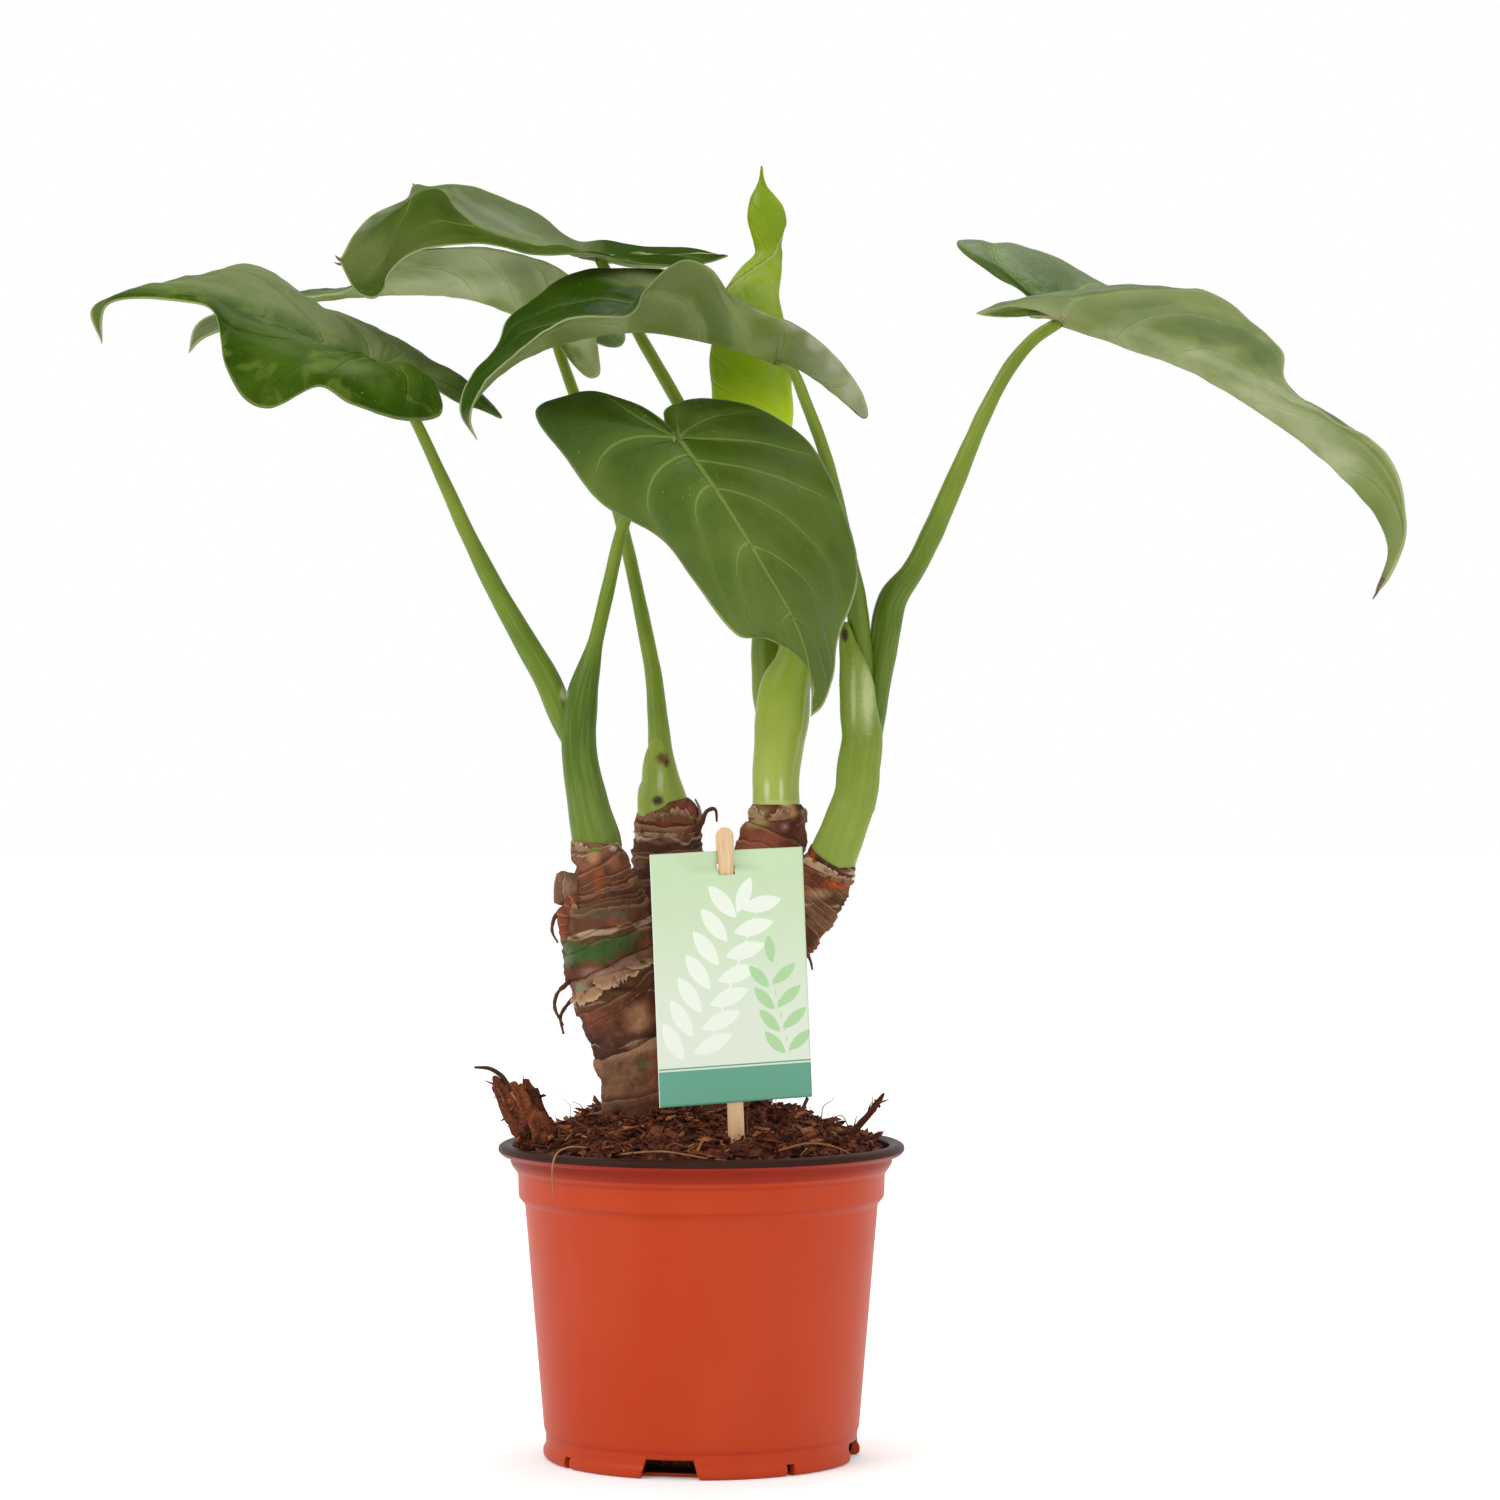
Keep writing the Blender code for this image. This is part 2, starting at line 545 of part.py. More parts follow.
def soil_height(radius, turn, random):
    rise = 1 - (radius / (COLLAR_RADIUS - WALL)) ** 2
    lumps = random.uniform(-SOIL_GRAIN, SOIL_GRAIN)
    for count, shift, share in SOIL_WAVES:
        lumps += share * math.sin(count * turn + radius / shift)
    return SOIL_EDGE + SOIL_MOUND * rise + SOIL_ROUGHNESS * lumps * min(1, rise / SOIL_CALM)


def make_soil():
    random = np.random.default_rng(SEED)
    cosines, sines = circle(POT_SIDES)
    rings = lathe_rings(SOIL_UNDERSIDE)
    for radius in SOIL_RINGS:
        ring = []
        for cosine, sine in zip(cosines, sines):
            height = soil_height(radius, math.atan2(sine, cosine), random)
            ring.append((radius * cosine, radius * sine, height))
        rings.append(np.array(ring))
    rings.append(np.array([0, 0, SOIL_EDGE + SOIL_MOUND]))
    soil = mesh_object("soil", *skin(rings), material("soil", "soil"), smooth=False)
    extras = [
        mesh_object("bark_chunk", *skin(tube_rings(BARK_CHUNK, 6, 6))),
        mesh_object("bark_twig", *skin(tube_rings(BARK_TWIG, 5, 5))),
    ]
    combine(soil, extras, "UNION")
    holes = []
    for k, (name, guide) in enumerate(TRUNKS.items(), start=1):
        x, y, _, radius = guide[0]
        reach = radius + 3 * GAP
        # Each hole is a little deeper than the last, because a Boolean fails where their floors are level.
        post = [(x, y, ROOT_DEPTH - k * GAP, reach), (x, y, HOLE_TOP + k, reach)]
        holes.append(mesh_object(f"hole_{name}", *skin(tube_rings(post, HOLE_SIDES, 2))))
    slit = stick_shape("hole_stick", GAP * 1.5)
    ground, *others = holes
    combine(ground, others, "UNION")
    combine(soil, [ground, slit], "DIFFERENCE")


def scar_rings(random):
    """Relief of the ringed leaf scars: ridge and groove in turn, a little uneven."""
    tilt = random.uniform(0, 2 * math.pi)

    def relief(ring, sides):
        turns = np.arange(sides) * 2 * math.pi / sides
        ridge = SCAR_HEIGHT if ring % 2 else -SCAR_HEIGHT
        return ridge + SCAR_UNEVENNESS * (np.cos(turns * 2 + tilt + ring) + random.uniform(-1, 1, sides))

    return relief


def make_trunks():
    random = np.random.default_rng(SEED)
    bodies = []
    for name, guide in TRUNKS.items():
        x, y, level, radius = guide[0]
        root = [(x, y, ROOT_DEPTH, radius), (x, y, level, radius)]
        length = np.linalg.norm(np.diff(np.array(guide)[:, :3], axis=0), axis=1).sum()
        rings = tube_rings(
            guide, TRUNK_SIDES, int(length / SCAR_SPACING), start_normal=(0, 0, 1), end_normal=trunk_top(name)[1],
            relief=scar_rings(random),
        )
        foot = tube_rings(root, TRUNK_SIDES, 2)
        bodies.append(mesh_object(f"trunk_{name}", *skin([*foot[:-2], *rings[1:]])))
    bodies.append(mesh_object("side_stub", *skin(tube_rings(SIDE_STUB, 8, 4))))
    trunks, *others = bodies
    trunks.name = "trunks"
    trunks.data.materials.append(material("trunks", "trunks"))
    combine(trunks, others, "UNION")


def trunk_top(name):
    """Where a stalk stands on its trunk, and which way it starts."""
    guide = np.array(TRUNKS[name], float)
    path = smooth_path(guide, np.linspace(0, 1, 40))[:, :3]
    ahead = unit(path[-1] - path[-2])
    return path[-1], ahead


def stalk(name, stands_on):
    """One stalk or sheath. It starts a gap above its trunk and ends a gap below its blade, where it has them."""
    guide = [list(point) for point in STALKS[name]]
    start_normal = end_normal = None
    if stands_on:
        foot, start_normal = trunk_top(stands_on)
        guide[0][:3] = foot + start_normal * GAP
    if name in CARRIES:
        seat, end_normal = stalk_seat(BLADES[CARRIES[name]])
        guide.append([*seat, guide[-1][3] * STALK_END])
    length = np.linalg.norm(np.diff(np.array(guide)[:, :3], axis=0), axis=1).sum()
    count = max(5, int(length / STALK_SPACING))
    rings = tube_rings(guide, STALK_SIDES, count, start_normal=start_normal, end_normal=end_normal)
    return mesh_object(f"stalk_{name}", *skin(rings))


def make_stalks():
    """The stalks that grow from one head are one piece. The first of them stands on the trunk named beside it."""
    heads = {
        "stalks_left": [("to_front", "left"), ("to_left", None)],
        "stalks_middle": [("to_back_low", "middle"), ("old_sheath", None)],
        "stalks_centre": [("to_back_high", "centre"), ("to_new_leaf", None)],
        "stalks_right": [("cut_stub", "right"), ("to_centre", None), ("to_right", None)],
    }
    for head, members in heads.items():
        first, *others = [stalk(name, trunk) for name, trunk in members]
        first.name = head
        first.data.materials.append(material(head, "stalks"))
        combine(first, others, "UNION")


def make_new_leaf():
    """The rolled leaf. Its outer edge shows as a step that climbs round it."""
    guide = [list(point) for point in NEW_LEAF]
    guide[0][2] += GAP
    shares = np.linspace(0, 1, NEW_LEAF_RINGS)
    path = smooth_path(guide, shares)
    cosines, sines = circle(NEW_LEAF_SIDES)
    rings = []
    for share, (*centre, radius) in zip(shares, path):
        step_at = NEW_LEAF_EDGE_START + NEW_LEAF_EDGE_TWIST * share
        turned = (np.arange(NEW_LEAF_SIDES) / NEW_LEAF_SIDES - step_at) % 1
        reach = radius * (1 + NEW_LEAF_STEP * (turned - 0.5))
        ring = np.stack([reach * cosines, reach * sines * NEW_LEAF_FLATNESS, np.zeros(NEW_LEAF_SIDES)], axis=1)
        rings.append(centre + ring)
    points, faces = skin([path[0, :3], *rings, path[-1, :3]])
    mesh_object("new_leaf", points, faces, material("new_leaf", "new_leaf"))


def make_blades():
    for name, blade in BLADES.items():
        points, faces = blade_solid(blade)
        mesh_object(name, points, faces, material(name, "blade"))


def card_frame(obj):
    """Turns a shape made round the card's middle, in x and z, to where the card hangs."""
    obj.location = tuple(value * MM for value in CARD_CENTRE)
    obj.rotation_euler = (0, math.radians(-CARD_ROLL), math.radians(CARD_YAW))


def card_bend(height):
    """How far back the card lies at this height, so that its top strip passes behind the stick."""
    slot = CARD_HEIGHT / 2 - SLOT_BELOW_TOP
    share = min(1, max(0, (height - slot) / SLOT_HEIGHT + 0.5))
    return (STICK_THICKNESS + CARD_THICKNESS + 2 * GAP) * (3 * share**2 - 2 * share**3)


def make_card():
    across = np.linspace(-CARD_WIDTH / 2, CARD_WIDTH / 2, CARD_COLUMNS)
    slot = CARD_HEIGHT / 2 - SLOT_BELOW_TOP
    half = SLOT_HEIGHT / 2
    up = [-CARD_HEIGHT / 2, 0, slot - half, slot - half / 2, slot, slot + half / 2, slot + half, CARD_HEIGHT / 2]
    points = [(x, card_bend(z), z) for z in up for x in across]
    triangles = []
    for i in range(len(up) - 1):
        for j in range(len(across) - 1):
            a = i * len(across) + j
            b, c, d = a + 1, a + len(across) + 1, a + len(across)
            triangles += [(a, b, c), (a, c, d)]
    thickness = np.full(len(points), CARD_THICKNESS / 2)
    solid = thicken(points, np.array(triangles), thickness, thickness)
    card = mesh_object("care_card", *solid, material("care_card", "card"), smooth=False)
    card_frame(card)
    cutter = box("card_slot", SLOT_WIDTH, 4 * STICK_THICKNESS, SLOT_HEIGHT)
    cutter.data.transform(Matrix.Translation((0, 0, (slot - half) * MM)))
    card_frame(cutter)
    combine(card, [cutter], "DIFFERENCE")


def stick_shape(name, margin=0.0):
    """The flat stick with a round top, in the card's frame. A margin makes it larger, for its hole in the soil."""
    half = STICK_WIDTH / 2 + margin
    top = CARD_HEIGHT / 2 + STICK_ABOVE_CARD
    foot = (STICK_FOOT - CARD_CENTRE[2]) / math.cos(math.radians(CARD_ROLL)) - margin
    outline = [(-half, foot), (half, foot)]
    for k in range(STICK_ARC + 1):
        angle = math.pi * k / STICK_ARC
        outline.append((half * math.cos(angle), top - half + half * math.sin(angle)))
    front = CARD_THICKNESS / 2 + GAP - margin
    back = front + STICK_THICKNESS + 2 * margin
    near = np.array([(x, front, z) for x, z in outline])
    far = np.array([(x, back, z) for x, z in outline])
    points, faces = skin([near, far])
    count = len(outline)
    ends = [tuple(range(count)), tuple(range(2 * count - 1, count - 1, -1))]
    stick = mesh_object(name, points, faces + ends, smooth=False)
    card_frame(stick)
    return stick


def make_stick():
    stick = stick_shape("card_stick")
    stick.data.materials.append(material("card_stick", "stick"))


clear_scene()
make_pot()
make_soil()
make_trunks()
make_stalks()
make_new_leaf()
make_blades()
make_card()
make_stick()
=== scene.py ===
"""Looks of the potted alocasia: finer pieces over the solids, their materials, a floor, lights and a camera.

Lengths are in millimetres here, and mesh_piece turns them into metres.
"""

import math

import bpy
import numpy as np
from mathutils import Euler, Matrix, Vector


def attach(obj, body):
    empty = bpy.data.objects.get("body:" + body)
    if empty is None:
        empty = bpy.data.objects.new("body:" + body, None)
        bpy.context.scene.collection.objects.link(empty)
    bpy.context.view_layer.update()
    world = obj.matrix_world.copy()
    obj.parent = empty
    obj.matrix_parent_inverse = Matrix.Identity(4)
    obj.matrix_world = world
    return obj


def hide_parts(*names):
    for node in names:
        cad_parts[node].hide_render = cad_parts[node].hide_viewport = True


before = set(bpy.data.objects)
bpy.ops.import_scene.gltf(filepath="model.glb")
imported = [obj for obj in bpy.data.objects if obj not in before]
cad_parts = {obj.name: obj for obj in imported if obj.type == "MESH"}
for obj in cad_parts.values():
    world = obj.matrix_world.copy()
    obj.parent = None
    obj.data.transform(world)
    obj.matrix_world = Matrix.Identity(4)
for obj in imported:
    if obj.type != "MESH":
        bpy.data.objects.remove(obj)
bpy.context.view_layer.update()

MM = 0.001
CURVE_STEPS = 24

# Guide points of each blade, (x, y, z). The midrib runs from the stalk to the tip. Each edge runs from the notch
# between the back lobes, round its lobe, to the tip. Left and right are as seen from above, facing the tip.
BLADES = {
    "leaf_front": {
        "midrib": [(-7, -46, 347), (5, -56, 330), (21, -62, 304), (33, -60, 282), (37, -57, 266), (37, -55, 254)],
        "notch": (-12, -42, 353), "lobe_share": 0.4, "sag": {"left": (0, -0.12, 0.02), "right": (0, -0.1, 0.02)},
        "left": [
            (-12, -38, 357), (1, -30, 362), (25, -25, 356), (38, -24, 346), (53, -28, 310), (47, -42, 280),
            (41, -53, 258),
        ],
        "right": [
            (-15, -38, 356), (-36, -18, 366), (-46, -14, 365), (-56, -15, 359), (-45, -24, 341), (-32, -30, 326),
            (-12, -41, 312), (-2, -47, 300), (13, -52, 281), (22, -54, 280), (35, -56, 272), (38, -56, 264),
        ],
    },
    "leaf_left": {
        "midrib": [(-111, 2, 376), (-132, -2, 383), (-151, -4, 391), (-187, -2, 400), (-207, 1, 397), (-207, 2, 383)],
        "notch": (-104, 5, 373), "lobe_share": 0.42, "sag": {"left": (0, -0.22, 0.28), "right": (0, 0.02, 0.14)},
        "left": [
            (-95, -2, 370), (-90, -9, 367), (-88, -23, 357), (-101, -33, 354), (-118, -38, 359), (-128, -38, 365),
            (-145, -40, 358), (-152, -39, 360), (-160, -34, 372), (-166, -20, 392), (-176, -12, 396), (-205, 0, 396),
        ],
        "right": [
            (-95, 13, 370), (-81, 24, 363), (-70, 30, 360), (-76, 37, 370), (-85, 40, 375), (-121, 47, 396),
            (-135, 48, 401), (-159, 42, 415), (-176, 28, 409), (-200, 7, 401), (-211, 3, 395),
        ],
    },
    "leaf_back_high": {
        "midrib": [
            (-37, 45, 418), (-47, 45, 421), (-69, 43, 423), (-85, 41, 432), (-93, 38, 441), (-100, 34, 439),
            (-122, 23, 417), (-127, 20, 414),
        ],
        "notch": (-31, 45, 418), "lobe_share": 0.42, "sag": {"left": (0, -0.1, 0.02), "right": (0, 0, -0.12)},
        "left": [
            (-4, 30, 416), (9, 25, 416), (-4, 12, 412), (-37, 0, 412), (-78, -4, 417), (-98, -3, 414),
            (-109, -1, 406), (-110, 0, 402), (-113, 2, 399), (-119, 6, 401),
        ],
        "right": [
            (-19, 56, 420), (-1, 66, 422), (5, 72, 422), (-35, 93, 429), (-47, 94, 429), (-62, 93, 439),
            (-82, 85, 448), (-99, 66, 446), (-104, 60, 446), (-107, 52, 439), (-120, 41, 430),
        ],
    },
    "leaf_back_low": {
        "midrib": [
            (-55, 88, 396), (-69, 86, 403), (-89, 84, 409), (-130, 80, 408), (-176, 72, 398), (-182.5, 71, 394),
            (-186, 70, 386),
        ],
        "notch": (-52, 88, 395), "lobe_share": 0.4, "sag": {"left": (0, -0.05, 0.1), "right": (0, 0.05, 0.1)},
        "left": [
            (-52, 82, 390), (-42, 66, 377), (-37, 58, 378), (-39, 46, 392), (-47, 40, 411), (-71, 37, 420),
            (-86, 38, 422), (-100, 41, 420), (-115, 46, 414), (-128, 56, 409), (-145, 64, 406), (-174, 69, 394),
            (-181, 70, 391),
        ],
        "right": [
            (-42, 96, 394), (-32, 104, 392), (-29, 112, 396), (-33, 122, 405), (-43, 130, 413), (-57, 134, 418),
            (-73, 134, 423), (-92, 130, 424), (-114, 120, 420), (-131, 104, 413), (-148, 90, 410), (-176, 74, 401.5),
            (-184, 72, 396),
        ],
    },
    "leaf_centre": {
        "midrib": [
            (26, -28, 375), (21, -29, 377), (-23, -33, 385), (-63, -37, 373), (-78, -39, 355), (-75, -38, 347),
        ],
        "notch": (30, -28, 374), "lobe_share": 0.4, "sag": {"left": (0, -0.08, 0.12), "right": (0, 0.04, 0.04)},
        "left": [
            (38, -38, 371.5), (44, -47, 370.2), (46.2, -50, 369), (49, -53, 363), (53, -57, 353), (55, -60, 353),
            (53, -63, 361), (35, -69, 381), (11, -72, 393), (4, -72, 401), (-5, -72, 404), (-18, -71, 395),
            (-23, -70, 388), (-41, -66, 386), (-54, -57, 379), (-72, -45, 366), (-77, -40, 354),
        ],
        "right": [
            (35, -22, 372), (43.2, -17, 369.6), (44.4, -10, 374), (40, -3, 382), (10, 9, 400), (-4, 12, 408),
            (-34, 12, 411), (-50, 7, 406), (-66, -9, 390), (-68, -16, 383), (-78, -29, 369), (-81, -36, 357),
        ],
    },
    "leaf_right": {
        "midrib": [(124, 0, 391), (147, 0, 383), (174, 0, 372), (222, 0, 337), (237, 0, 314), (232, 0, 296)],
        "notch": (120, 0, 392), "lobe_share": 0.36, "sag": {"left": (0, 0.06, 0.14), "right": (0, -0.06, 0.14)},
        "left": [
            (109, 18, 404), (90, 42, 422), (102, 54, 426), (124, 60, 421), (146, 60, 409), (180, 58, 398),
            (195, 54, 387), (214, 36, 362), (227, 26, 351), (236, 16, 339), (241, 5, 316),
        ],
        "right": [
            (117, -8, 392), (105, -22, 390), (93, -34, 390), (109, -50, 392), (144, -57, 396), (168, -56, 395),
            (182, -54, 387), (194, -49, 376), (195, -45, 368), (199, -42, 363), (216, -34, 355), (225, -28, 351),
            (236, -18, 338), (242, -7, 318), (237, -1, 302),
        ],
    },
}

# Guide points of each stem, (x, y, z, radius), from the ground up
TRUNKS = {
    "left": [
        (-19, -6, 128, 15.5), (-21, -7, 139, 15.8), (-25, -8, 154, 16.5), (-30, -9, 168, 16.5), (-32, -10, 181, 15.1),
        (-32, -10, 192, 13), (-34, -10, 204, 9.2), (-36, -10, 210, 8.8),
    ],
    "middle": [
        (-4, 6, 128, 15.2), (-8, 12, 142, 14.6), (-11, 17, 170, 13.9), (-12, 20, 191, 13.3), (-12, 22, 208, 12.2),
        (-12, 22, 217, 11.2), (-12, 22, 222, 10),
    ],
    "centre": [
        (1, 0, 128, 15.2), (7, 3, 143, 14.2), (14, 5, 170, 13.1), (20, 6, 195, 12.5), (24, 6, 210, 11.8),
        (26, 6, 217, 10.2), (26, 6, 222, 9.2),
    ],
    "right": [
        (5, -4, 128, 13.1), (13, -5, 147, 10.7), (23, -7, 166, 9.3), (31, -8, 180, 9.3), (37, -8, 189, 9.8),
        (41, -9, 197, 9.8), (44, -9, 204, 9),
    ],
}
STALKS = {
    "to_front": [
        (-36, -10, 211, 8.4), (-39, -10, 225, 7), (-42, -10, 243, 6), (-41, -11, 260, 5.6), (-38, -11, 273, 3.8),
        (-36, -11, 281, 2.6), (-32, -10, 298, 2.4), (-27, -10, 319, 2.1), (-20, -18, 335, 2), (-12, -32, 344, 1.9),
    ],
    "to_left": [
        (-40, -7, 238, 3.4), (-47, -5, 253, 4.5), (-53, -4, 267, 4.5), (-64, -2, 286, 3.8), (-78, 0, 312, 2.9),
        (-90, 1, 338, 2.2), (-99, 1, 357, 1.9),
    ],
    "to_back_low": [
        (-12, 22, 223, 7.2), (-14, 22, 234, 5.6), (-15, 24, 245, 4.2), (-17, 31, 267, 3), (-21, 38, 288, 2.6),
        (-30, 53, 327, 2.2), (-38, 66, 350, 2.1), (-47, 79, 372, 2.1), (-53, 87, 389, 2),
    ],
    "to_back_high": [
        (26, 6, 223, 8.2), (26, 6, 236, 8.3), (27, 6, 245, 8.8), (28, 5, 254, 9.5), (29, 4, 264, 9),
        (32, 3, 274, 6.9), (32, 4, 283, 4.8), (29, 6, 295, 3.6), (21, 10, 311, 3), (10, 18, 330, 2.6),
        (-9, 31, 366, 2.3), (-23, 39, 391, 2.1),
    ],
    "to_centre": [
        (57, -1, 260, 3.4), (55, -3, 277, 3.8), (53, -5, 295, 3.6), (49, -8, 315, 2.9), (43, -12, 342, 2.2),
        (36, -17, 361, 2), (31, -23, 372, 1.8),
    ],
    "to_right": [
        (57, 0, 240, 4.1), (60, 0, 262, 4.8), (63, 0, 281, 5.2), (66, 0, 295, 5), (73, 0, 305, 3.8),
        (81, 0, 321, 3.8), (88, 0, 337, 3.4), (98, 0, 360, 2.6), (107, 0, 376, 2.4), (115, 0, 385, 2.2),
    ],
    "cut_stub": [
        (45, -9, 205, 8.4), (49, -10, 216, 7.9), (53, -10, 228, 7.5), (54, -10, 238, 7.4), (55, -9, 247, 6.9),
        (54, -8.5, 255, 6.4), (53, -8, 266, 5.7), (51.6, -7.6, 274, 4.3), (50.2, -7.2, 279.6, 3), (49.7, -7, 284, 2),
        (49.8, -7, 287, 0.7),
    ],
    "old_sheath": [
        (-14.2, 20.4, 218, 8), (-15.4, 19.8, 224, 7.1), (-16.2, 19.3, 229, 6.2), (-16, 19.2, 232, 5.2),
        (-16.4, 19.6, 237, 4.4), (-16.2, 20.6, 241.5, 3.7), (-15, 23.4, 247, 2.4),
    ],
    "to_new_leaf": [
        (26, 7, 234, 3), (25, 9.5, 246, 4.6), (24, 11.5, 256, 5.4), (23, 14, 266, 5.7), (23, 18, 281, 5.8),
        (23, 22, 295, 5.6), (22, 27, 310, 5.6),
    ],
}
NEW_LEAF = [
    (22, 27, 306, 5.4), (22, 28, 311, 5.6), (20, 32, 324, 8.1), (18, 38, 349, 12.4), (17, 41, 367, 13.8),
    (16, 42, 387, 13.5), (17, 42, 403, 10.3), (21, 42, 414, 7.1), (23.5, 42, 419, 5), (23.2, 42, 422, 5),
    (23, 42, 426.5, 6), (22.4, 42, 431.5, 6.6), (22, 42, 436, 5.9), (21.2, 42, 439.5, 4.1), (20.8, 42, 442.6, 2),
    (20.8, 42, 446, 0.8), (20.8, 42, 450, 0.35),
]
NEW_LEAF_FLATNESS = 0.55
NEW_LEAF_STEP = 0.16  # how far its outer edge stands proud, as a share of the radius
NEW_LEAF_EDGE = [  # (share of the height, turns from the right side) of that edge
    (0, -1.1), (0.35, -1), (0.48, -0.97), (0.6, -0.75), (0.68, -0.5), (0.77, -0.25), (0.86, -0.02), (1, 0.05),
]

# Which blade each stalk carries
CARRIES = {
    "to_front": "leaf_front", "to_left": "leaf_left", "to_back_low": "leaf_back_low",
    "to_back_high": "leaf_back_high", "to_centre": "leaf_centre", "to_right": "leaf_right",
}

# A cut shoot on the left trunk, and the root below it
SIDE_SHOOTS = [
    [
        (-32, -10, 190, 6), (-38, -11, 194.4, 6), (-44, -11, 195.4, 5.6), (-49.2, -11, 195.6, 5.2),
        (-50.2, -11, 195.7, 4.3), (-50.4, -11, 195.7, 2),
    ],
    [(-40, -14, 193, 3.4), (-44.5, -14, 189, 3.6), (-46, -14, 184, 3.2), (-45.5, -13, 178, 2.6), (-42, -12, 172, 2)],
]
BARK_TWIG = [(46, -9, 104, 1.6), (52, -10, 112, 1.3), (58, -10, 119, 1.1), (61, -10, 123, 0.7)]


STREAK_SPREAD = (1, 0.25, 1)  # how much each axis counts in the distance from a stripe, which spreads in depth


def linear(colour):
    """Linear colour of a screen colour given from 0 to 255. A node's output stays as it is."""
    if isinstance(colour, bpy.types.NodeSocket):
        return colour
    levels = np.array(colour) / 255
    return (*np.where(levels <= 0.04045, levels / 12.92, ((levels + 0.055) / 1.055) ** 2.4), 1.0)


class Finish:
    """One procedural material. Its lengths are in millimetres, and its colours are screen colours from 0 to 255.

    Tone is the colour so far, which over, blots and streaks lay more colours on.
    """

    def __init__(self, name, roughness=0.5, **values):
        self.material = bpy.data.materials.new(name)
        self.material.use_nodes = True
        self.tree = self.material.node_tree
        self.shader = self.tree.nodes["Principled BSDF"]
        for socket, value in {"Roughness": roughness, **values}.items():
            self.shader.inputs[socket.replace("_", " ")].default_value = value
        self.place = self.vector("SCALE", self.node("TexCoord").outputs["Object"], scale=1000)
        self.tone = None

    def put(self, value, socket):
        if isinstance(value, bpy.types.NodeSocket):
            self.tree.links.new(value, socket)
        else:
            socket.default_value = value

    def node(self, kind, inputs=(), **settings):
        """A new node. Inputs are (socket, value) pairs."""
        node = self.tree.nodes.new("ShaderNode" + kind)
        for key, value in settings.items():
            setattr(node, key, value)
        for socket, value in inputs:
            self.put(value, node.inputs[socket])
        return node

    def vector(self, operation, *values, scale=None, output="Vector"):
        inputs = [*enumerate(values)] if scale is None else [*enumerate(values), ("Scale", scale)]
        return self.node("VectorMath", inputs, operation=operation).outputs[output]

    def length(self, vector):
        return self.vector("LENGTH", vector, output="Value")

    def join(self, *values):
        return self.node("CombineXYZ", enumerate(values)).outputs[0]

    def coordinate(self, axis):
        return self.node("SeparateXYZ", [(0, self.place)]).outputs[axis]

    def data(self, name):
        return self.node("Attribute", attribute_name=name).outputs["Fac"]

    def calc(self, operation, *values):
        return self.node("Math", enumerate(values), operation=operation).outputs[0]

    def add(self, first, *values):
        for value in values:
            first = self.calc("ADD", first, value)
        return first

    def times(self, first, *values):
        for value in values:
            first = self.calc("MULTIPLY", first, value)
        return first

    def fade(self, value, start, end):
        """0 up to start and 1 from end on."""
        inputs = [("Value", value), ("From Min", start), ("From Max", end)]
        return self.node("MapRange", inputs, interpolation_type="SMOOTHSTEP").outputs["Result"]

    def noise(self, size, detail=2.0, vector=None, distortion=0.0):
        inputs = [("Vector", vector or self.place), ("Scale", 1 / size), ("Detail", detail), ("Distortion", distortion)]
        return self.node("TexNoise", inputs).outputs["Fac"]

    def cells(self, size, feature="F1", vector=None):
        inputs = [("Vector", vector or self.place), ("Scale", 1 / size)]
        return self.node("TexVoronoi", inputs, feature=feature).outputs["Distance"]

    def chance(self, value):
        """A random number for each whole number."""
        return self.node("TexWhiteNoise", [("W", value)], noise_dimensions="1D").outputs["Value"]

    def mix(self, share, first, second):
        inputs = [(0, share), (6, linear(first)), (7, linear(second))]
        return self.node("Mix", inputs, data_type="RGBA").outputs[2]

    def ramp(self, value, *stops):
        """Colours at shares of a range, as (share, colour)."""
        node = self.node("ValToRGB", [(0, value)])
        elements = node.color_ramp.elements
        while len(elements) < len(stops):
            elements.new(0.5)
        for element, (share, colour) in zip(elements, stops):
            element.position, element.color = share, linear(colour)
        return node.outputs["Color"]

    def over(self, tint, share, *masks):
        """Lays this share of a colour over the tone where the masks are 1."""
        self.tone = self.mix(self.times(*masks, share), self.tone, tint)

    def ragged_spot(self, tint, share, distance, grain):
        """Lays a colour over the tone where this distance, roughened by grain, is below 1."""
        self.over(tint, share, self.fade(self.add(distance, grain), 1.25, 0.35))

    def raggedness(self, size):
        return self.times(self.add(self.noise(size, 3), -0.5), 0.6)

    def blots(self, spots, size=8.0):
        """Soft, ragged blots, each as (centre, half size, share, tint)."""
        grain = self.raggedness(size)
        for centre, half_size, share, tint in spots:
            offset = self.vector("DIVIDE", self.vector("SUBTRACT", self.place, centre), half_size)
            self.ragged_spot(tint, share, self.length(offset), grain)

    def streaks(self, lines, size=8.0):
        """Soft stripes, each as (places it runs through, half width, share, tint)."""
        grain = self.raggedness(size)
        here = self.vector("MULTIPLY", self.place, STREAK_SPREAD)
        for places, width, share, tint in lines:
            places = [np.multiply(place, STREAK_SPREAD) for place in places]
            nearest = 1000.0
            for start, end in zip(places, places[1:]):
                ahead = end - start
                offset = self.vector("SUBTRACT", here, start)
                run = self.vector("DOT_PRODUCT", offset, ahead / (ahead @ ahead), output="Value")
                run = self.calc("MINIMUM", self.calc("MAXIMUM", run, 0.0), 1.0)
                gap = self.vector("SUBTRACT", offset, self.vector("SCALE", ahead, scale=run))
                nearest = self.calc("MINIMUM", self.length(gap), nearest)
            self.ragged_spot(tint, share, self.times(nearest, 1 / width), grain)

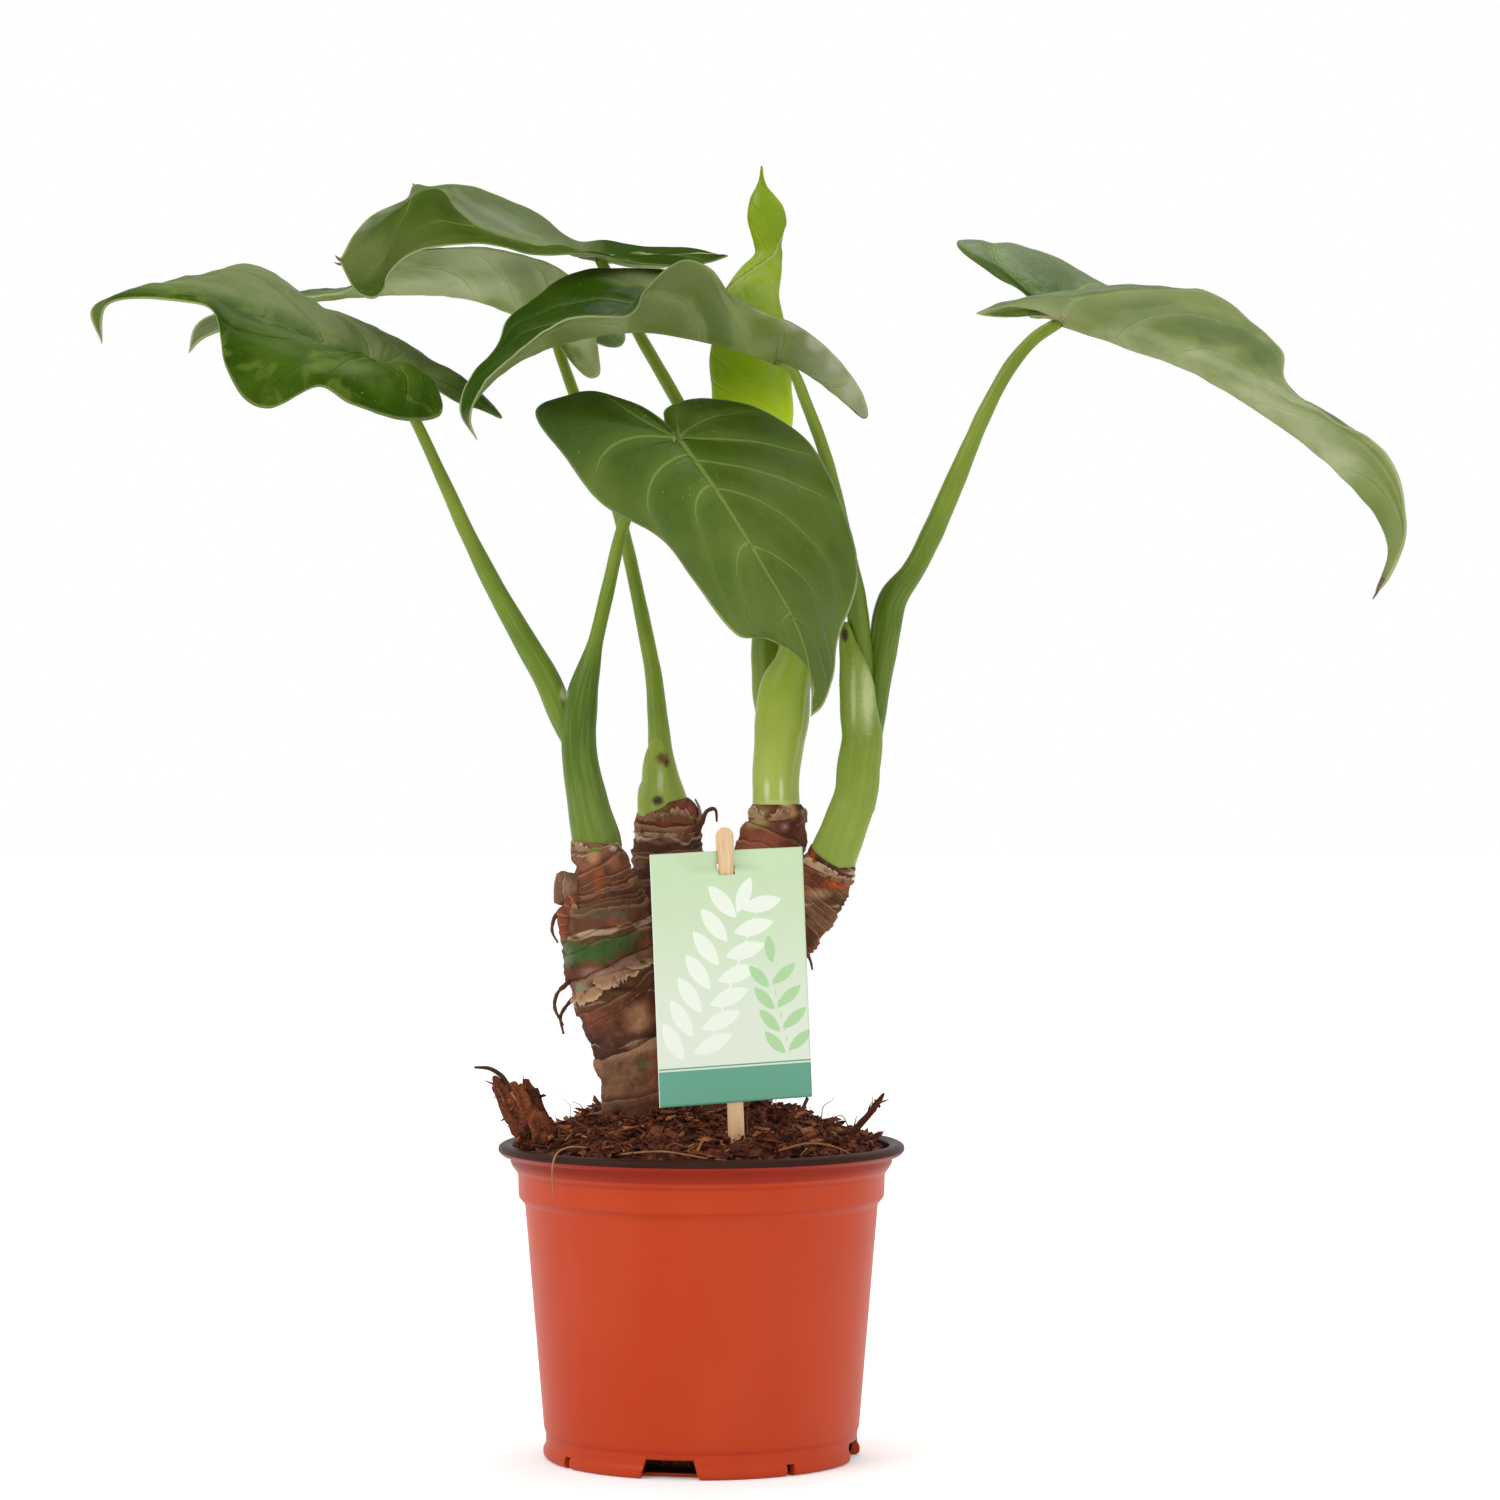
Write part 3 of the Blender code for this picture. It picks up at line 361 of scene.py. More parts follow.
    def done(self, rough=None, height=None, glow=0.0, even_glow=False):
        """Links the tone, a roughness and a relief in millimetres, and lets a share of the light through."""
        self.put(self.tone, self.shader.inputs["Base Color"])
        if rough is not None:
            self.put(rough, self.shader.inputs["Roughness"])
        if height is not None:
            normal = self.node("Bump", [("Distance", MM), ("Height", height)]).outputs[0]
            self.put(normal, self.shader.inputs["Normal"])
        if glow:
            through = self.node("BsdfTranslucent", [("Color", self.tone)])
            if not even_glow:
                self.put(normal, through.inputs["Normal"])
            both = self.node("MixShader", [(0, glow), (1, self.shader.outputs[0]), (2, through.outputs[0])])
            self.put(both.outputs[0], self.tree.nodes["Material Output"].inputs["Surface"])
        return self.material


def mesh_piece(name, points, faces, finishes, which=None, data=None, smooth=True):
    """An object of the part, with numbers for its material on its points and a finish for each face."""
    mesh = bpy.data.meshes.new(name)
    mesh.from_pydata((np.asarray(points, float) * MM).tolist(), [], faces)
    for finish in finishes:
        mesh.materials.append(finish)
    if which is not None:
        mesh.polygons.foreach_set("material_index", np.asarray(which, np.int32))
    for key, values in (data or {}).items():
        layer = mesh.attributes.new(key, "FLOAT", "POINT")
        layer.data.foreach_set("value", np.asarray(values, np.float32).ravel())
    mesh.polygons.foreach_set("use_smooth", np.full(len(mesh.polygons), smooth))
    mesh.update()
    obj = bpy.data.objects.new(name, mesh)
    bpy.context.scene.collection.objects.link(obj)
    return obj


def place(obj, slot, *nodes):
    """Puts a finished piece on the part, in the place of these solids."""
    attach(obj, "root")
    if nodes:
        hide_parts(*nodes)


def smooth_path(points, shares):
    """A smooth curve through the points, read at these shares of its length."""
    points = np.asarray(points, float)
    spans = np.linalg.norm(np.diff(points[:, :3], axis=0), axis=1)
    knots = np.concatenate([[0], np.cumsum(np.sqrt(spans))])
    slopes = np.gradient(points, knots, axis=0)
    w = np.linspace(0, 1, CURVE_STEPS)[:, None]
    dense = []
    for i, gap in enumerate(np.diff(knots)):
        curve = (2 * w**3 - 3 * w**2 + 1) * points[i] + (3 * w**2 - 2 * w**3) * points[i + 1]
        curve += gap * ((w**3 - 2 * w**2 + w) * slopes[i] + (w**3 - w**2) * slopes[i + 1])
        dense.append(curve)
    dense = np.concatenate(dense)
    run = np.concatenate([[0], np.cumsum(np.linalg.norm(np.diff(dense[:, :3], axis=0), axis=1))])
    return np.stack([np.interp(np.asarray(shares) * run[-1], run, column) for column in dense.T], axis=-1)


def unit(vectors):
    vectors = np.asarray(vectors, float)
    return vectors / np.maximum(np.linalg.norm(vectors, axis=-1, keepdims=True), 1e-9)


def ripple(points, size, seed, count=10):
    """Smooth random relief, mostly between -1 and 1, with lumps of about this size."""
    random = np.random.default_rng(seed)
    waves = unit(random.normal(size=(count, 3))).T * 2 * math.pi / (size * random.uniform(0.7, 1.6, count))
    return np.sin(points @ waves + random.uniform(0, 2 * math.pi, count)).sum(axis=-1) * (1.4 / count) ** 0.5


def step(value, start, end):
    """0 up to start and 1 from end on, smoothly between."""
    share = np.clip((value - start) / (end - start), 0, 1)
    return share * share * (3 - 2 * share)


def guide_length(guide):
    return np.linalg.norm(np.diff(np.array(guide)[:, :3], axis=0), axis=1).sum()


def ring_faces(rows, sides):
    """Faces of rings of points, row by row, and of a point at each end, which come after the rings' own."""
    i = np.arange(rows - 1)[:, None] * sides
    j = np.arange(sides)
    k = (j + 1) % sides
    faces = np.stack([i + j, i + k, i + k + sides, i + j + sides], axis=-1).reshape(-1, 4).tolist()
    foot, top, last = rows * sides, rows * sides + 1, (rows - 1) * sides
    faces += [(foot, (s + 1) % sides, s) for s in range(sides)]
    return faces + [(top, last + s, last + (s + 1) % sides) for s in range(sides)]


class Tube:
    """Rings of points round a path of (x, y, z, radius), from its foot up."""

    def __init__(self, guide, rows, sides):
        self.path = smooth_path(guide, np.linspace(0, 1, rows))
        self.ahead = unit(np.gradient(self.path[:, :3], axis=0))
        self.side = unit(np.cross((0, 1, 0), self.ahead))
        self.back = np.cross(self.ahead, self.side)
        self.run = np.concatenate([[0], np.cumsum(np.linalg.norm(np.diff(self.path[:, :3], axis=0), axis=1))])
        self.rows, self.sides = rows, sides
        self.turn = np.arange(sides) * 2 * math.pi / sides
        self.radius = self.path[:, 3:4] * np.ones((1, sides))

    def points(self, lean=0.0):
        """The rings' points, row by row. Lean moves each of them along the path."""
        turn = self.turn[None, :, None]
        out = np.cos(turn) * self.side[:, None] + np.sin(turn) * self.back[:, None]
        return self.path[:, None, :3] + out * self.radius[..., None] + np.asarray(lean)[..., None] * self.ahead[:, None]

    def closed(self, points=None):
        """Points and faces with both ends closed."""
        points = self.points() if points is None else points
        ends = np.stack([points[0].mean(axis=0), points[-1].mean(axis=0)])
        return np.concatenate([points.reshape(-1, 3), ends]), ring_faces(self.rows, self.sides)

    def spread(self, values):
        """Values for every point of closed(), from one for each ring or for each of its points."""
        values = np.asarray(values, float)
        full = np.broadcast_to(values if values.ndim == 2 else values[:, None], (self.rows, self.sides))
        return np.concatenate([full.ravel(), [full[0].mean(), full[-1].mean()]])


class Heap:
    """Several small shapes gathered into one mesh, with numbers for its material on their points."""

    def __init__(self):
        self.points, self.faces, self.data, self.count = [], [], {}, 0

    def add(self, points, faces, **data):
        self.points.append(np.asarray(points, float))
        self.faces += [tuple(self.count + int(v) for v in face) for face in faces]
        for key, values in data.items():
            self.data.setdefault(key, []).append(np.broadcast_to(np.asarray(values, float), len(points)))
        self.count += len(points)

    def piece(self, name, finish, smooth=True):
        data = {key: np.concatenate(values) for key, values in self.data.items()}
        return mesh_piece(name, np.concatenate(self.points), self.faces, [finish], data=data, smooth=smooth)


def two_sided(front, back, faces, data):
    """Joins two layers by a rim. Returns points, faces, each face's side (0 front, 1 back, 2 rim) and the data."""
    count = len(front)
    edges = {(f[i], f[(i + 1) % len(f)]) for f in faces for i in range(len(f))}
    rim = [(b, a, count + a, count + b) for a, b in edges if (b, a) not in edges]
    sides = np.repeat([0, 1, 2], [len(faces), len(faces), len(rim)])
    faces = faces + [tuple(count + v for v in face[::-1]) for face in faces] + rim
    data = {key: np.concatenate([value, value]) for key, value in data.items()}
    return np.concatenate([front, back]), faces, sides, data


# Blades
ROWS = 190
COLUMNS = 34
VEINS = {  # (share of the edge where a vein starts at the midrib, where it ends, how much it curves)
    "left": [(0.06, 0.07, 1), (0.15, 0.27, 1.3), (0.37, 0.41, 1.5), (0.46, 0.52, 2), (0.53, 0.80, 2.3), (0.66, 0.93, 2),
             (0.81, 0.98, 2)],
    "right": [(0.10, 0.06, 1), (0.235, 0.16, 1), (0.31, 0.45, 1.5), (0.44, 0.60, 2.2), (0.52, 0.88, 2.1),
              (0.65, 0.95, 2), (0.80, 0.985, 2)],
}


def half_blade(blade, side):
    """Grid of points from the midrib to one edge, and the share along the midrib of each row."""
    shares = np.linspace(0, 1, ROWS + 1)
    lobe = blade["lobe_share"]
    along = np.clip((shares - lobe) / (1 - lobe), 0, 1)
    middle = smooth_path(blade["midrib"], along)
    edge = smooth_path([blade["notch"], *blade[side], blade["midrib"][-1]], shares)
    length = np.linalg.norm(edge - middle, axis=1, keepdims=True)
    bend = (middle + edge) / 2 + length * np.outer(np.minimum(1, shares * 8), blade["sag"][side])
    t = np.linspace(0, 1, COLUMNS + 1)[None, :, None]
    grid = (1 - t) ** 2 * middle[:, None] + 2 * t * (1 - t) * bend[:, None] + t**2 * edge[:, None]
    return grid, along


def vein_map(grid, side):
    """Place among the side veins, whole on a vein, and the distance between veins there."""
    shares = np.linspace(0, 1, ROWS + 1)
    places = np.empty(grid.shape[:2])
    for j, t in enumerate(np.linspace(0, 1, COLUMNS + 1)):
        at = [first + (last - first) * t**power for first, last, power in VEINS[side]]
        at = [-at[0], *at, 2 - at[-1]]
        places[:, j] = np.interp(shares, at, np.arange(len(at)))
    pace = np.linalg.norm(np.gradient(grid, shares, axis=0), axis=2)
    return places, pace / np.maximum(np.gradient(places, shares, axis=0), 1e-6)


def flat_blade(blade):
    """The blade's middle layer: its points, faces and numbers for the material, with both halves welded."""
    halves = Heap()
    corners = np.arange(ROWS)[:, None] * (COLUMNS + 1) + np.arange(COLUMNS)
    quads = np.stack([corners, corners + COLUMNS + 1, corners + COLUMNS + 2, corners + 1], axis=-1).reshape(-1, 4)
    for side in ("left", "right"):
        grid, along = half_blade(blade, side)
        places, spacing = vein_map(grid, side)
        span = np.linalg.norm(np.diff(grid, axis=1), axis=2).sum(axis=1)[:, None]
        values = {
            "vein_place": places, "vein_spacing": spacing, "rib": np.linalg.norm(grid - grid[:, :1], axis=2),
            "margin": np.minimum(span * (1 - np.linspace(0, 1, COLUMNS + 1)), 60),
            "along": np.broadcast_to(along[:, None], places.shape), "half": np.full(places.shape, side == "right"),
            "hub": np.linalg.norm(grid - np.array(blade["midrib"][0]), axis=2),
        }
        halves.add(grid.reshape(-1, 3), quads if side == "left" else quads[:, ::-1],
                   **{key: value.ravel() for key, value in values.items()})
    points = np.concatenate(halves.points)
    _, first, weld = np.unique(np.round(points, 3), axis=0, return_index=True, return_inverse=True)
    data = {key: np.concatenate(value)[first] for key, value in halves.data.items()}
    faces = [tuple(dict.fromkeys(quad)) for quad in weld.reshape(-1)[np.array(halves.faces)].tolist()]
    return points[first], [face for face in faces if len(face) > 2], data


def point_normals(points, faces):
    triangles = np.array([t for f in faces for t in ([f[:3]] if len(f) == 3 else [f[:3], (f[0], f[2], f[3])])])
    corners = points[triangles]
    normals = np.zeros_like(points)
    for k in range(3):
        np.add.at(normals, triangles[:, k], np.cross(corners[:, 1] - corners[:, 0], corners[:, 2] - corners[:, 0]))
    return unit(normals)


def make_blade(name, upper, under, pucker, seed):
    """A blade whose veins lie in grooves above and stand out below, and which swells between them."""
    points, faces, data = flat_blade(BLADES[name])
    normals = point_normals(points, faces)
    rib, margin, taper = data["rib"], data["margin"], 1 - data["along"]
    off_vein = np.abs(data["vein_place"] - np.round(data["vein_place"])) * data["vein_spacing"]
    inside = step(margin, 0, 6) * step(rib, 0.5, 9)
    swell = (step(off_vein, 0, 7) - 0.6) * pucker * inside
    swell += ripple(points, 17, seed) * 0.35 * pucker * inside + ripple(points, 7, seed + 1) * 0.12 * pucker
    swell += ripple(points, 34, seed + 2) * 0.9 * step(margin, 16, 0) * step(rib, 6, 20)
    groove = 0.5 * np.exp(-((rib / 1.5) ** 2)) * taper
    thick = 0.08 + 0.27 * np.minimum(1, margin / 1.2) ** 0.5
    ridge = 1.5 * taper**0.8 * np.exp(-((rib / 1.25) ** 2))
    ridge += 0.3 * np.exp(-((off_vein / 0.8) ** 2)) * step(margin, 2, 20) * step(rib, 0, 3)
    top = points + normals * (swell + thick - groove)[:, None]
    low = points + normals * (swell - thick - ridge)[:, None]
    points, faces, sides, data = two_sided(top, low, faces, data)
    place(mesh_piece(f"{name}_blade", points, faces, [upper, under], sides % 2, data), "leaf", name)


def leaf_finish(name, green, deep, veins, below=False, gloss=0.34, shine=0.22, far=None, tip=None, vein_share=1.0,
                vein_reach=(60, 150), patches=None, folds=0.0, tints=()):
    """A leaf's upper side, or its paler side below, where the veins stand out.

    Far lays a painted sheen over the right half, and tip colours the tip. The fold share paints light and shade across
    the panels between side veins. Tints are (axis, from, to, share, colour) across the part.
    """
    f = Finish(name, Specular_IOR_Level=shine)
    spacing, rib, margin, along, hub = (f.data(k) for k in ("vein_spacing", "rib", "margin", "along", "hub"))
    number = f.data("vein_place")
    off_vein = f.times(f.calc("PINGPONG", number, 0.5), spacing)
    width = f.add(f.times(f.fade(margin, 0, 22), 0.5), 0.3)
    reach = f.fade(f.add(hub, f.times(f.noise(12, 2), 30)), vein_reach[1] + 15, vein_reach[0] + 15)
    vein = f.times(f.fade(f.calc("DIVIDE", off_vein, width), 1.25, 0.2), f.fade(margin, 0.5, 9))
    width = f.add(f.times(f.calc("SUBTRACT", 1.0, along), 0.85), 0.25)
    midrib = f.fade(f.calc("DIVIDE", rib, width), 1.2, 0.4)
    lines = f.calc("MAXIMUM", f.times(vein, f.add(f.times(reach, 0.85), 0.15)), midrib)
    minor = f.times(f.calc("PINGPONG", f.times(number, 5.0), 0.5), f.times(spacing, 0.2))
    minor = f.times(f.fade(minor, 0.5, 0.05), f.fade(margin, 0.5, 4), f.fade(f.noise(9, 2), 0.45, 0.7))
    mesh = f.join(f.times(number, 9.0), f.times(rib, 0.30), 0.0)
    net = f.fade(f.cells(1.0, "DISTANCE_TO_EDGE", mesh), 0.12, 0.0)
    mottle = f.noise(5, 3)
    f.tone = f.mix(f.fade(f.noise(28, 3), 0.32, 0.68), deep, green)
    f.over(green, 0.28, f.fade(mottle, 0.4, 0.75))
    if patches:
        f.over(patches, 0.55, f.fade(f.noise(11, 3, distortion=0.8), 0.5, 0.66))
    # painted sheen: the right half made lighter and greyer
    if far:
        f.over(far, 0.85, f.data("half"), f.fade(rib, 0, 14))
    if tip:
        f.over(tip, 0.8, f.fade(along, 0.35, 0.9))
    if folds:
        # painted light and shade of folds: paler just past each side vein, darker just before the next
        panel = f.calc("FRACT", f.add(number, f.times(f.noise(14, 2), 0.5)))
        f.over(veins, folds, f.fade(panel, 0.0, 0.12), f.fade(panel, 0.7, 0.1))
        f.over(deep, folds, f.fade(panel, 0.55, 0.98), f.fade(panel, 1.0, 0.93))
    for axis, start, end, share, tint in tints:
        spot = f.add(f.coordinate(axis), f.times(f.noise(9, 2), 8), -4)
        f.over(tint, share, f.fade(spot, start, end))
    f.blots(LEAF_SPOTS.get(name, ()))
    f.streaks(PAINTED_FOLD_LIGHT_AND_SHADE.get(name, ()))
    f.over(veins, (0.26 if below else 0.2) * vein_share, f.fade(off_vein, 6.5, 0.3), reach)
    f.over(veins, (0.12 if below else 0.07) * vein_share, minor)
    f.over(deep, 0.08 if below else 0.05, net)
    f.over(veins, 0.7 * vein_share, lines)
    edge = f.add(0.35, f.times(f.fade(along, 0.3, 0.6), 0.45))
    f.over(f.mix(0.5, veins, (204, 206, 160)), edge, f.fade(margin, 1.4, 0.4), f.fade(hub, 3, 12))
    f.over((164, 172, 104), 0.5, f.fade(f.noise(1.3, 1), 0.765, 0.79))
    rise = f.add(f.times(vein, 0.30), f.times(midrib, 0.35), f.times(minor, 0.05), f.times(net, 0.04))
    return f.done(
        f.add(f.times(f.noise(9, 3), 0.22), f.times(lines, 0.08), gloss - 0.11),
        f.add(rise if below else f.times(rise, -1.0), f.times(f.noise(1.6, 3), 0.06), f.times(mottle, 0.35)), 0.3,
    )


LEAF_SPOTS = {  # (centre, half size, share, colour) of soft blots, for each material; the ones marked below are painted sheen
    "leaf_back_low_below": [
        ((-92, 60, 409), (26, 40, 6), 0.7, (198, 204, 164)), ((-78, 60, 418), (18, 40, 4), 0.5, (188, 196, 148)),
        ((-60, 60, 417), (14, 40, 5), 0.6, (100, 120, 52)), ((-50, 60, 402), (16, 40, 12), 0.4, (106, 126, 58)),
        ((-51, 60, 405), (8, 40, 7), 0.5, (180, 190, 140)), ((-84, 60, 404), (9, 40, 3), 0.5, (120, 136, 76)),
    ],
    "leaf_right_below": [
        ((152, -30, 392), (15, 30, 3.4), 0.4, (98, 124, 52)), ((166, -30, 387), (14, 30, 4), 0.5, (94, 120, 48)),
        ((179, -35, 383), (12, 30, 4), 0.6, (90, 116, 44)), ((188, -40, 376), (9, 30, 4.6), 0.55, (96, 120, 50)),
        ((121, -14, 390), (9, 30, 3.5), 0.55, (166, 146, 110)), ((226, -10, 334), (8, 30, 11), 0.4, (130, 150, 84)),
        ((232, -6, 320), (7, 30, 12), 0.6, (104, 130, 56)), ((233, 0, 301), (5, 20, 7), 0.7, (126, 112, 100)),
    ],
    "leaf_centre_below": [
        ((-10, -66, 397), (10, 20, 6), 0.45, (136, 146, 92)), ((-44, -60, 378), (16, 20, 5), 0.4, (140, 150, 96)),
        ((24, -68, 388), (7, 20, 2.6), 0.6, (190, 194, 156)), ((32, -68, 383.5), (6, 20, 2.6), 0.7, (198, 200, 170)),
        ((39, -66, 377.5), (5, 20, 3.2), 0.7, (200, 200, 174)),
        ((45, -64, 371), (4.4, 20, 3.6), 0.7, (200, 200, 176)),
        ((50, -62, 363), (3.6, 20, 4.4), 0.65, (196, 196, 172)), ((53, -60, 355), (3, 20, 4), 0.5, (150, 146, 122)),
        ((14, -60, 384), (5, 30, 9), 0.35, (160, 172, 116)), ((-4, -66, 389), (8, 30, 3), 0.35, (84, 104, 36)),
        ((20, -50, 378), (8, 40, 4), 0.4, (164, 176, 112)), ((-76, -38, 352), (5, 14, 6), 0.7, (132, 112, 98)),
    ],
    "leaf_front_top": [
        ((18, -52, 301), (3, 9, 8), 0.35, (150, 166, 92)), ((-9, -44, 350), (8, 9, 5), 0.4, (60, 84, 20)),
    ],
    "leaf_left_top": [
        ((-122, -22, 372), (15, 14, 4), 0.35, (140, 152, 100)), ((-113, 6, 381), (4, 12, 7), 0.4, (140, 150, 104)),
        ((-103, 8, 377.5), (7, 12, 2.6), 0.4, (140, 152, 98)), ((-110, 0, 375), (3.5, 10, 3), 0.4, (160, 170, 118)),
        ((-80, 30, 368), (15, 50, 10), 0.85, (60, 86, 26)), ((-96, 20, 380), (9, 40, 7), 0.6, (74, 96, 42)),
        ((-207, 2, 391), (8, 14, 13), 0.55, (118, 132, 76)), ((-207, 2, 384), (5, 10, 4), 0.6, (120, 104, 92)),
    ],
    "leaf_back_high_top": [
        # painted sheen: the two blots on the next line, in the hollow between midrib and right half
        ((-74, 66, 434), (20, 20, 8), 0.55, (138, 146, 118)), ((-55, 64, 428), (12, 20, 4), 0.5, (124, 138, 94)),
        ((-122, 40, 429), (5, 12, 5), 0.5, (160, 160, 134)), ((-115, 46, 436), (6, 12, 3.4), 0.5, (164, 164, 140)),
        ((-108, 52, 440.4), (5, 12, 2.6), 0.5, (156, 158, 130)),
        ((-120, 16, 416), (14, 20, 13), 0.45, (120, 130, 78)), ((-88, 30, 424), (14, 20, 4), 0.45, (58, 84, 16)),
    ],
    "leaf_back_low_top": [
        ((-178, 70, 396), (14, 24, 12), 0.6, (118, 124, 90)), ((-186, 70, 388), (5, 16, 5), 0.6, (122, 106, 96)),
    ],
    "leaf_centre_top": [
        # painted sheen: the two grey-green blots on the next line
        ((-24, 5, 406), (11, 14, 5.5), 0.8, (120, 130, 84)), ((-17, 4, 402), (5, 12, 5), 0.5, (126, 134, 94)),
        ((-76, -38, 352), (5, 14, 6), 0.6, (132, 112, 98)),
    ],
}
PAINTED_FOLD_LIGHT_AND_SHADE = {  # (places it runs through, half width, share, colour) of soft stripes of painted highlight, sheen and shadow on folds, for each material
    "leaf_right_below": [
        # painted highlights along the lit side of a fold, and in the last, darker stripe a painted shadow above it
        ([
            (138, -18, 381), (159, -18, 373.6), (176, -20, 366), (192, -24, 359), (205, -24, 351.5), (219, -16, 340),
        ], 8, 0.68, (204, 210, 166)),
        ([
            (167.6, -11.6, 379.7), (184.3, -15.4, 371.6), (196.5, -28, 364.5), (208, -27, 358),
        ], 1.8, 0.3, (206, 212, 170)),
        ([(150, -10.4, 386.4), (167.6, -11.6, 379.7), (180, -14, 374)], 2.2, 0.2, (206, 212, 170)),
        ([
            (164.3, -27, 389.3), (179, -33, 383.6), (191.4, -42.7, 376.8), (194.4, -45, 370),
        ], 2.6, 0.35, (88, 114, 42)),
    ],
    "leaf_left_top": [
        # painted sheen along the fold of the near lobe
        ([
            (-171.6, -11, 398.4), (-165.6, -17.6, 395.3), (-157.9, -22.8, 388.7), (-149.8, -22, 386),
            (-142.9, -16.6, 385), (-130.9, 0, 384), (-121.6, 3.5, 382), (-114, 5.5, 379.4),
        ], 2.2, 0.16, (150, 162, 110)),
    ],
    "leaf_back_high_top": [
        # painted sheen: pale and grey stripes along the folds of the hollow
        ([
            (-93, 62, 443.5), (-88.9, 57.4, 437.8), (-84.7, 53.2, 433.3), (-78.8, 49.8, 429.3), (-71.5, 53.4, 427.3),
            (-63.5, 56.7, 425), (-55.9, 55.6, 423.8), (-48, 62, 423),
        ], 2.6, 0.28, (160, 172, 124)),
        ([
            (-86.6, 65.5, 439.9), (-81.6, 61.3, 435.4), (-76.1, 64.7, 432.7), (-69.6, 63.9, 429.9),
        ], 2.8, 0.34, (114, 116, 104)),
        ([(-65, 64, 428.4), (-58, 72, 427.6), (-53, 78, 427.8)], 2, 0.24, (120, 122, 108)),
        ([
            (-89.5, 70.6, 445.2), (-87.8, 68, 442.7), (-82.8, 67.6, 439.2), (-76.3, 68.5, 435.9), (-70.6, 70, 433.2),
            (-66.1, 66, 429.8), (-59, 67.4, 427.5),
        ], 1.9, 0.22, (160, 168, 134)),
    ],
}


def below_finish(name, **more):
    return leaf_finish(name, (148, 162, 92), (118, 136, 62), (178, 190, 134), below=True, gloss=0.5, **more)


# the fold shares below paint light and shade across the panels between veins
BELOW = below_finish("leaf_below", vein_share=0.45, folds=0.35)
BELOW_LOW = below_finish("leaf_back_low_below", vein_share=0.3, folds=0.35)
BELOW_RIGHT = below_finish("leaf_right_below", vein_share=0.4, folds=0.3)
BELOW_CENTRE = leaf_finish(
    "leaf_centre_below", (112, 128, 58), (92, 112, 42), (144, 158, 92), below=True, gloss=0.5,
    vein_share=0.4, folds=0.5,
    tints=[("X", 8, 13, 0.4, (132, 150, 40)), ("X", 24, 32, 0.5, (112, 128, 58)), ("X", 26, 44, 0.75, (172, 180, 136))],
)
TOP_VEINS = (132, 156, 74)
LEAVES = {  # finish below, how strongly it swells between veins, green, deeper green, and what differs above
    "leaf_front": (BELOW, 0.6, (94, 114, 42), (72, 98, 24), {
        "shine": 0.15, "vein_reach": (42, 105), "vein_share": 0.9,
        "tints": [("Z", 322, 352, 0.4, (58, 84, 14)), ("Z", 318, 288, 0.4, (106, 124, 58))],
    }),
    "leaf_left": (BELOW, 1.0, (70, 98, 18), (42, 70, 6), {
        # far: a painted sheen on the right half
        "gloss": 0.36, "shine": 0.02, "far": (122, 134, 84), "vein_share": 0.6, "vein_reach": (8, 40),
        "patches": (104, 124, 46),
    }),
    "leaf_back_high": (BELOW, 0.8, (86, 100, 44), (62, 84, 24), {
        # far: a painted sheen on the right half
        "gloss": 0.3, "shine": 0.0, "far": (112, 124, 86), "vein_share": 0.5,
        "tints": [("X", -44, -36, 0.9, (46, 68, 16))],
    }),
    "leaf_back_low": (BELOW_LOW, 0.9, (84, 108, 40), (64, 92, 26), {"shine": 0.15}),
    "leaf_centre": (BELOW_CENTRE, 0.9, (52, 80, 10), (40, 66, 4), {"gloss": 0.26, "shine": 0.03, "vein_share": 0.6}),
    "leaf_right": (BELOW_RIGHT, 1.0, (92, 112, 48), (70, 96, 30), {"shine": 0.16, "tip": (124, 140, 84)}),
}
for leaf_seed, (leaf, (leaf_under, leaf_pucker, leaf_green, leaf_deep, leaf_looks)) in enumerate(LEAVES.items(), 11):
    leaf_upper = leaf_finish(f"{leaf}_top", leaf_green, leaf_deep, TOP_VEINS, **leaf_looks)
    make_blade(leaf, leaf_upper, leaf_under, leaf_pucker, leaf_seed)


# Trunks
TRUNK_FOOT = 98.0
BARK_ROW, BARK_SIDES = 0.5, 96  # millimetres between a trunk's rings of points, and points in a ring
LEFT_SLOPE = 0.19  # how much the rings of the left trunk rise to its right
SHOOT_ROWS, SHOOT_SIDES, SHOOT_RING = 44, 44, 2.6
RANDOM_SCRAPS = 8  # on the back of each trunk
BARK_ZONES = {  # (run from the foot, gap between rings, depth of a ring) up each trunk
    "middle": [(0, 5, 0.9), (90, 4, 0.9), (104, 2.6, 0.7), (118, 5, 0.4), (128, 8, 0.3)],
    "centre": [(0, 5, 0.9), (90, 4, 0.9), (110, 4, 0.7), (118, 7, 0.3), (128, 7, 0.3)],
    "right": [(0, 5, 0.8), (60, 3.2, 0.7), (90, 2.1, 0.6), (120, 2.1, 0.5)],
}
LEFT_RINGS = [  # (height, depth of the ring that starts there). Below 0, it flares at its lower edge
    (80, 0.2), (98, 0.2), (112, 0.25), (126, 0.3), (143.4, 0.45), (158, 0.5), (162.5, -1.7), (173, 0.35),
    (181.6, 0.9), (184.6, 0.3), (191, 0.8), (192.8, 0.8), (194.4, 0.9), (196.2, 0.9), (197.9, 0.8), (199.5, 0.7),
    (201.4, 0.25), (206, 0.2), (216, 0.2), (230, 0.2),
]
HEAD_RIMS = {  # where each trunk closes round its stalk's foot, (x, y, z, radius)
    "left": (-36, -10, 211.4, 8.7),
    "middle": (-12.6, 22, 224.6, 7.7),
    "centre": (26, 6, 224.2, 8.6),
    "right": (45.2, -9.6, 206.2, 8.8),
}
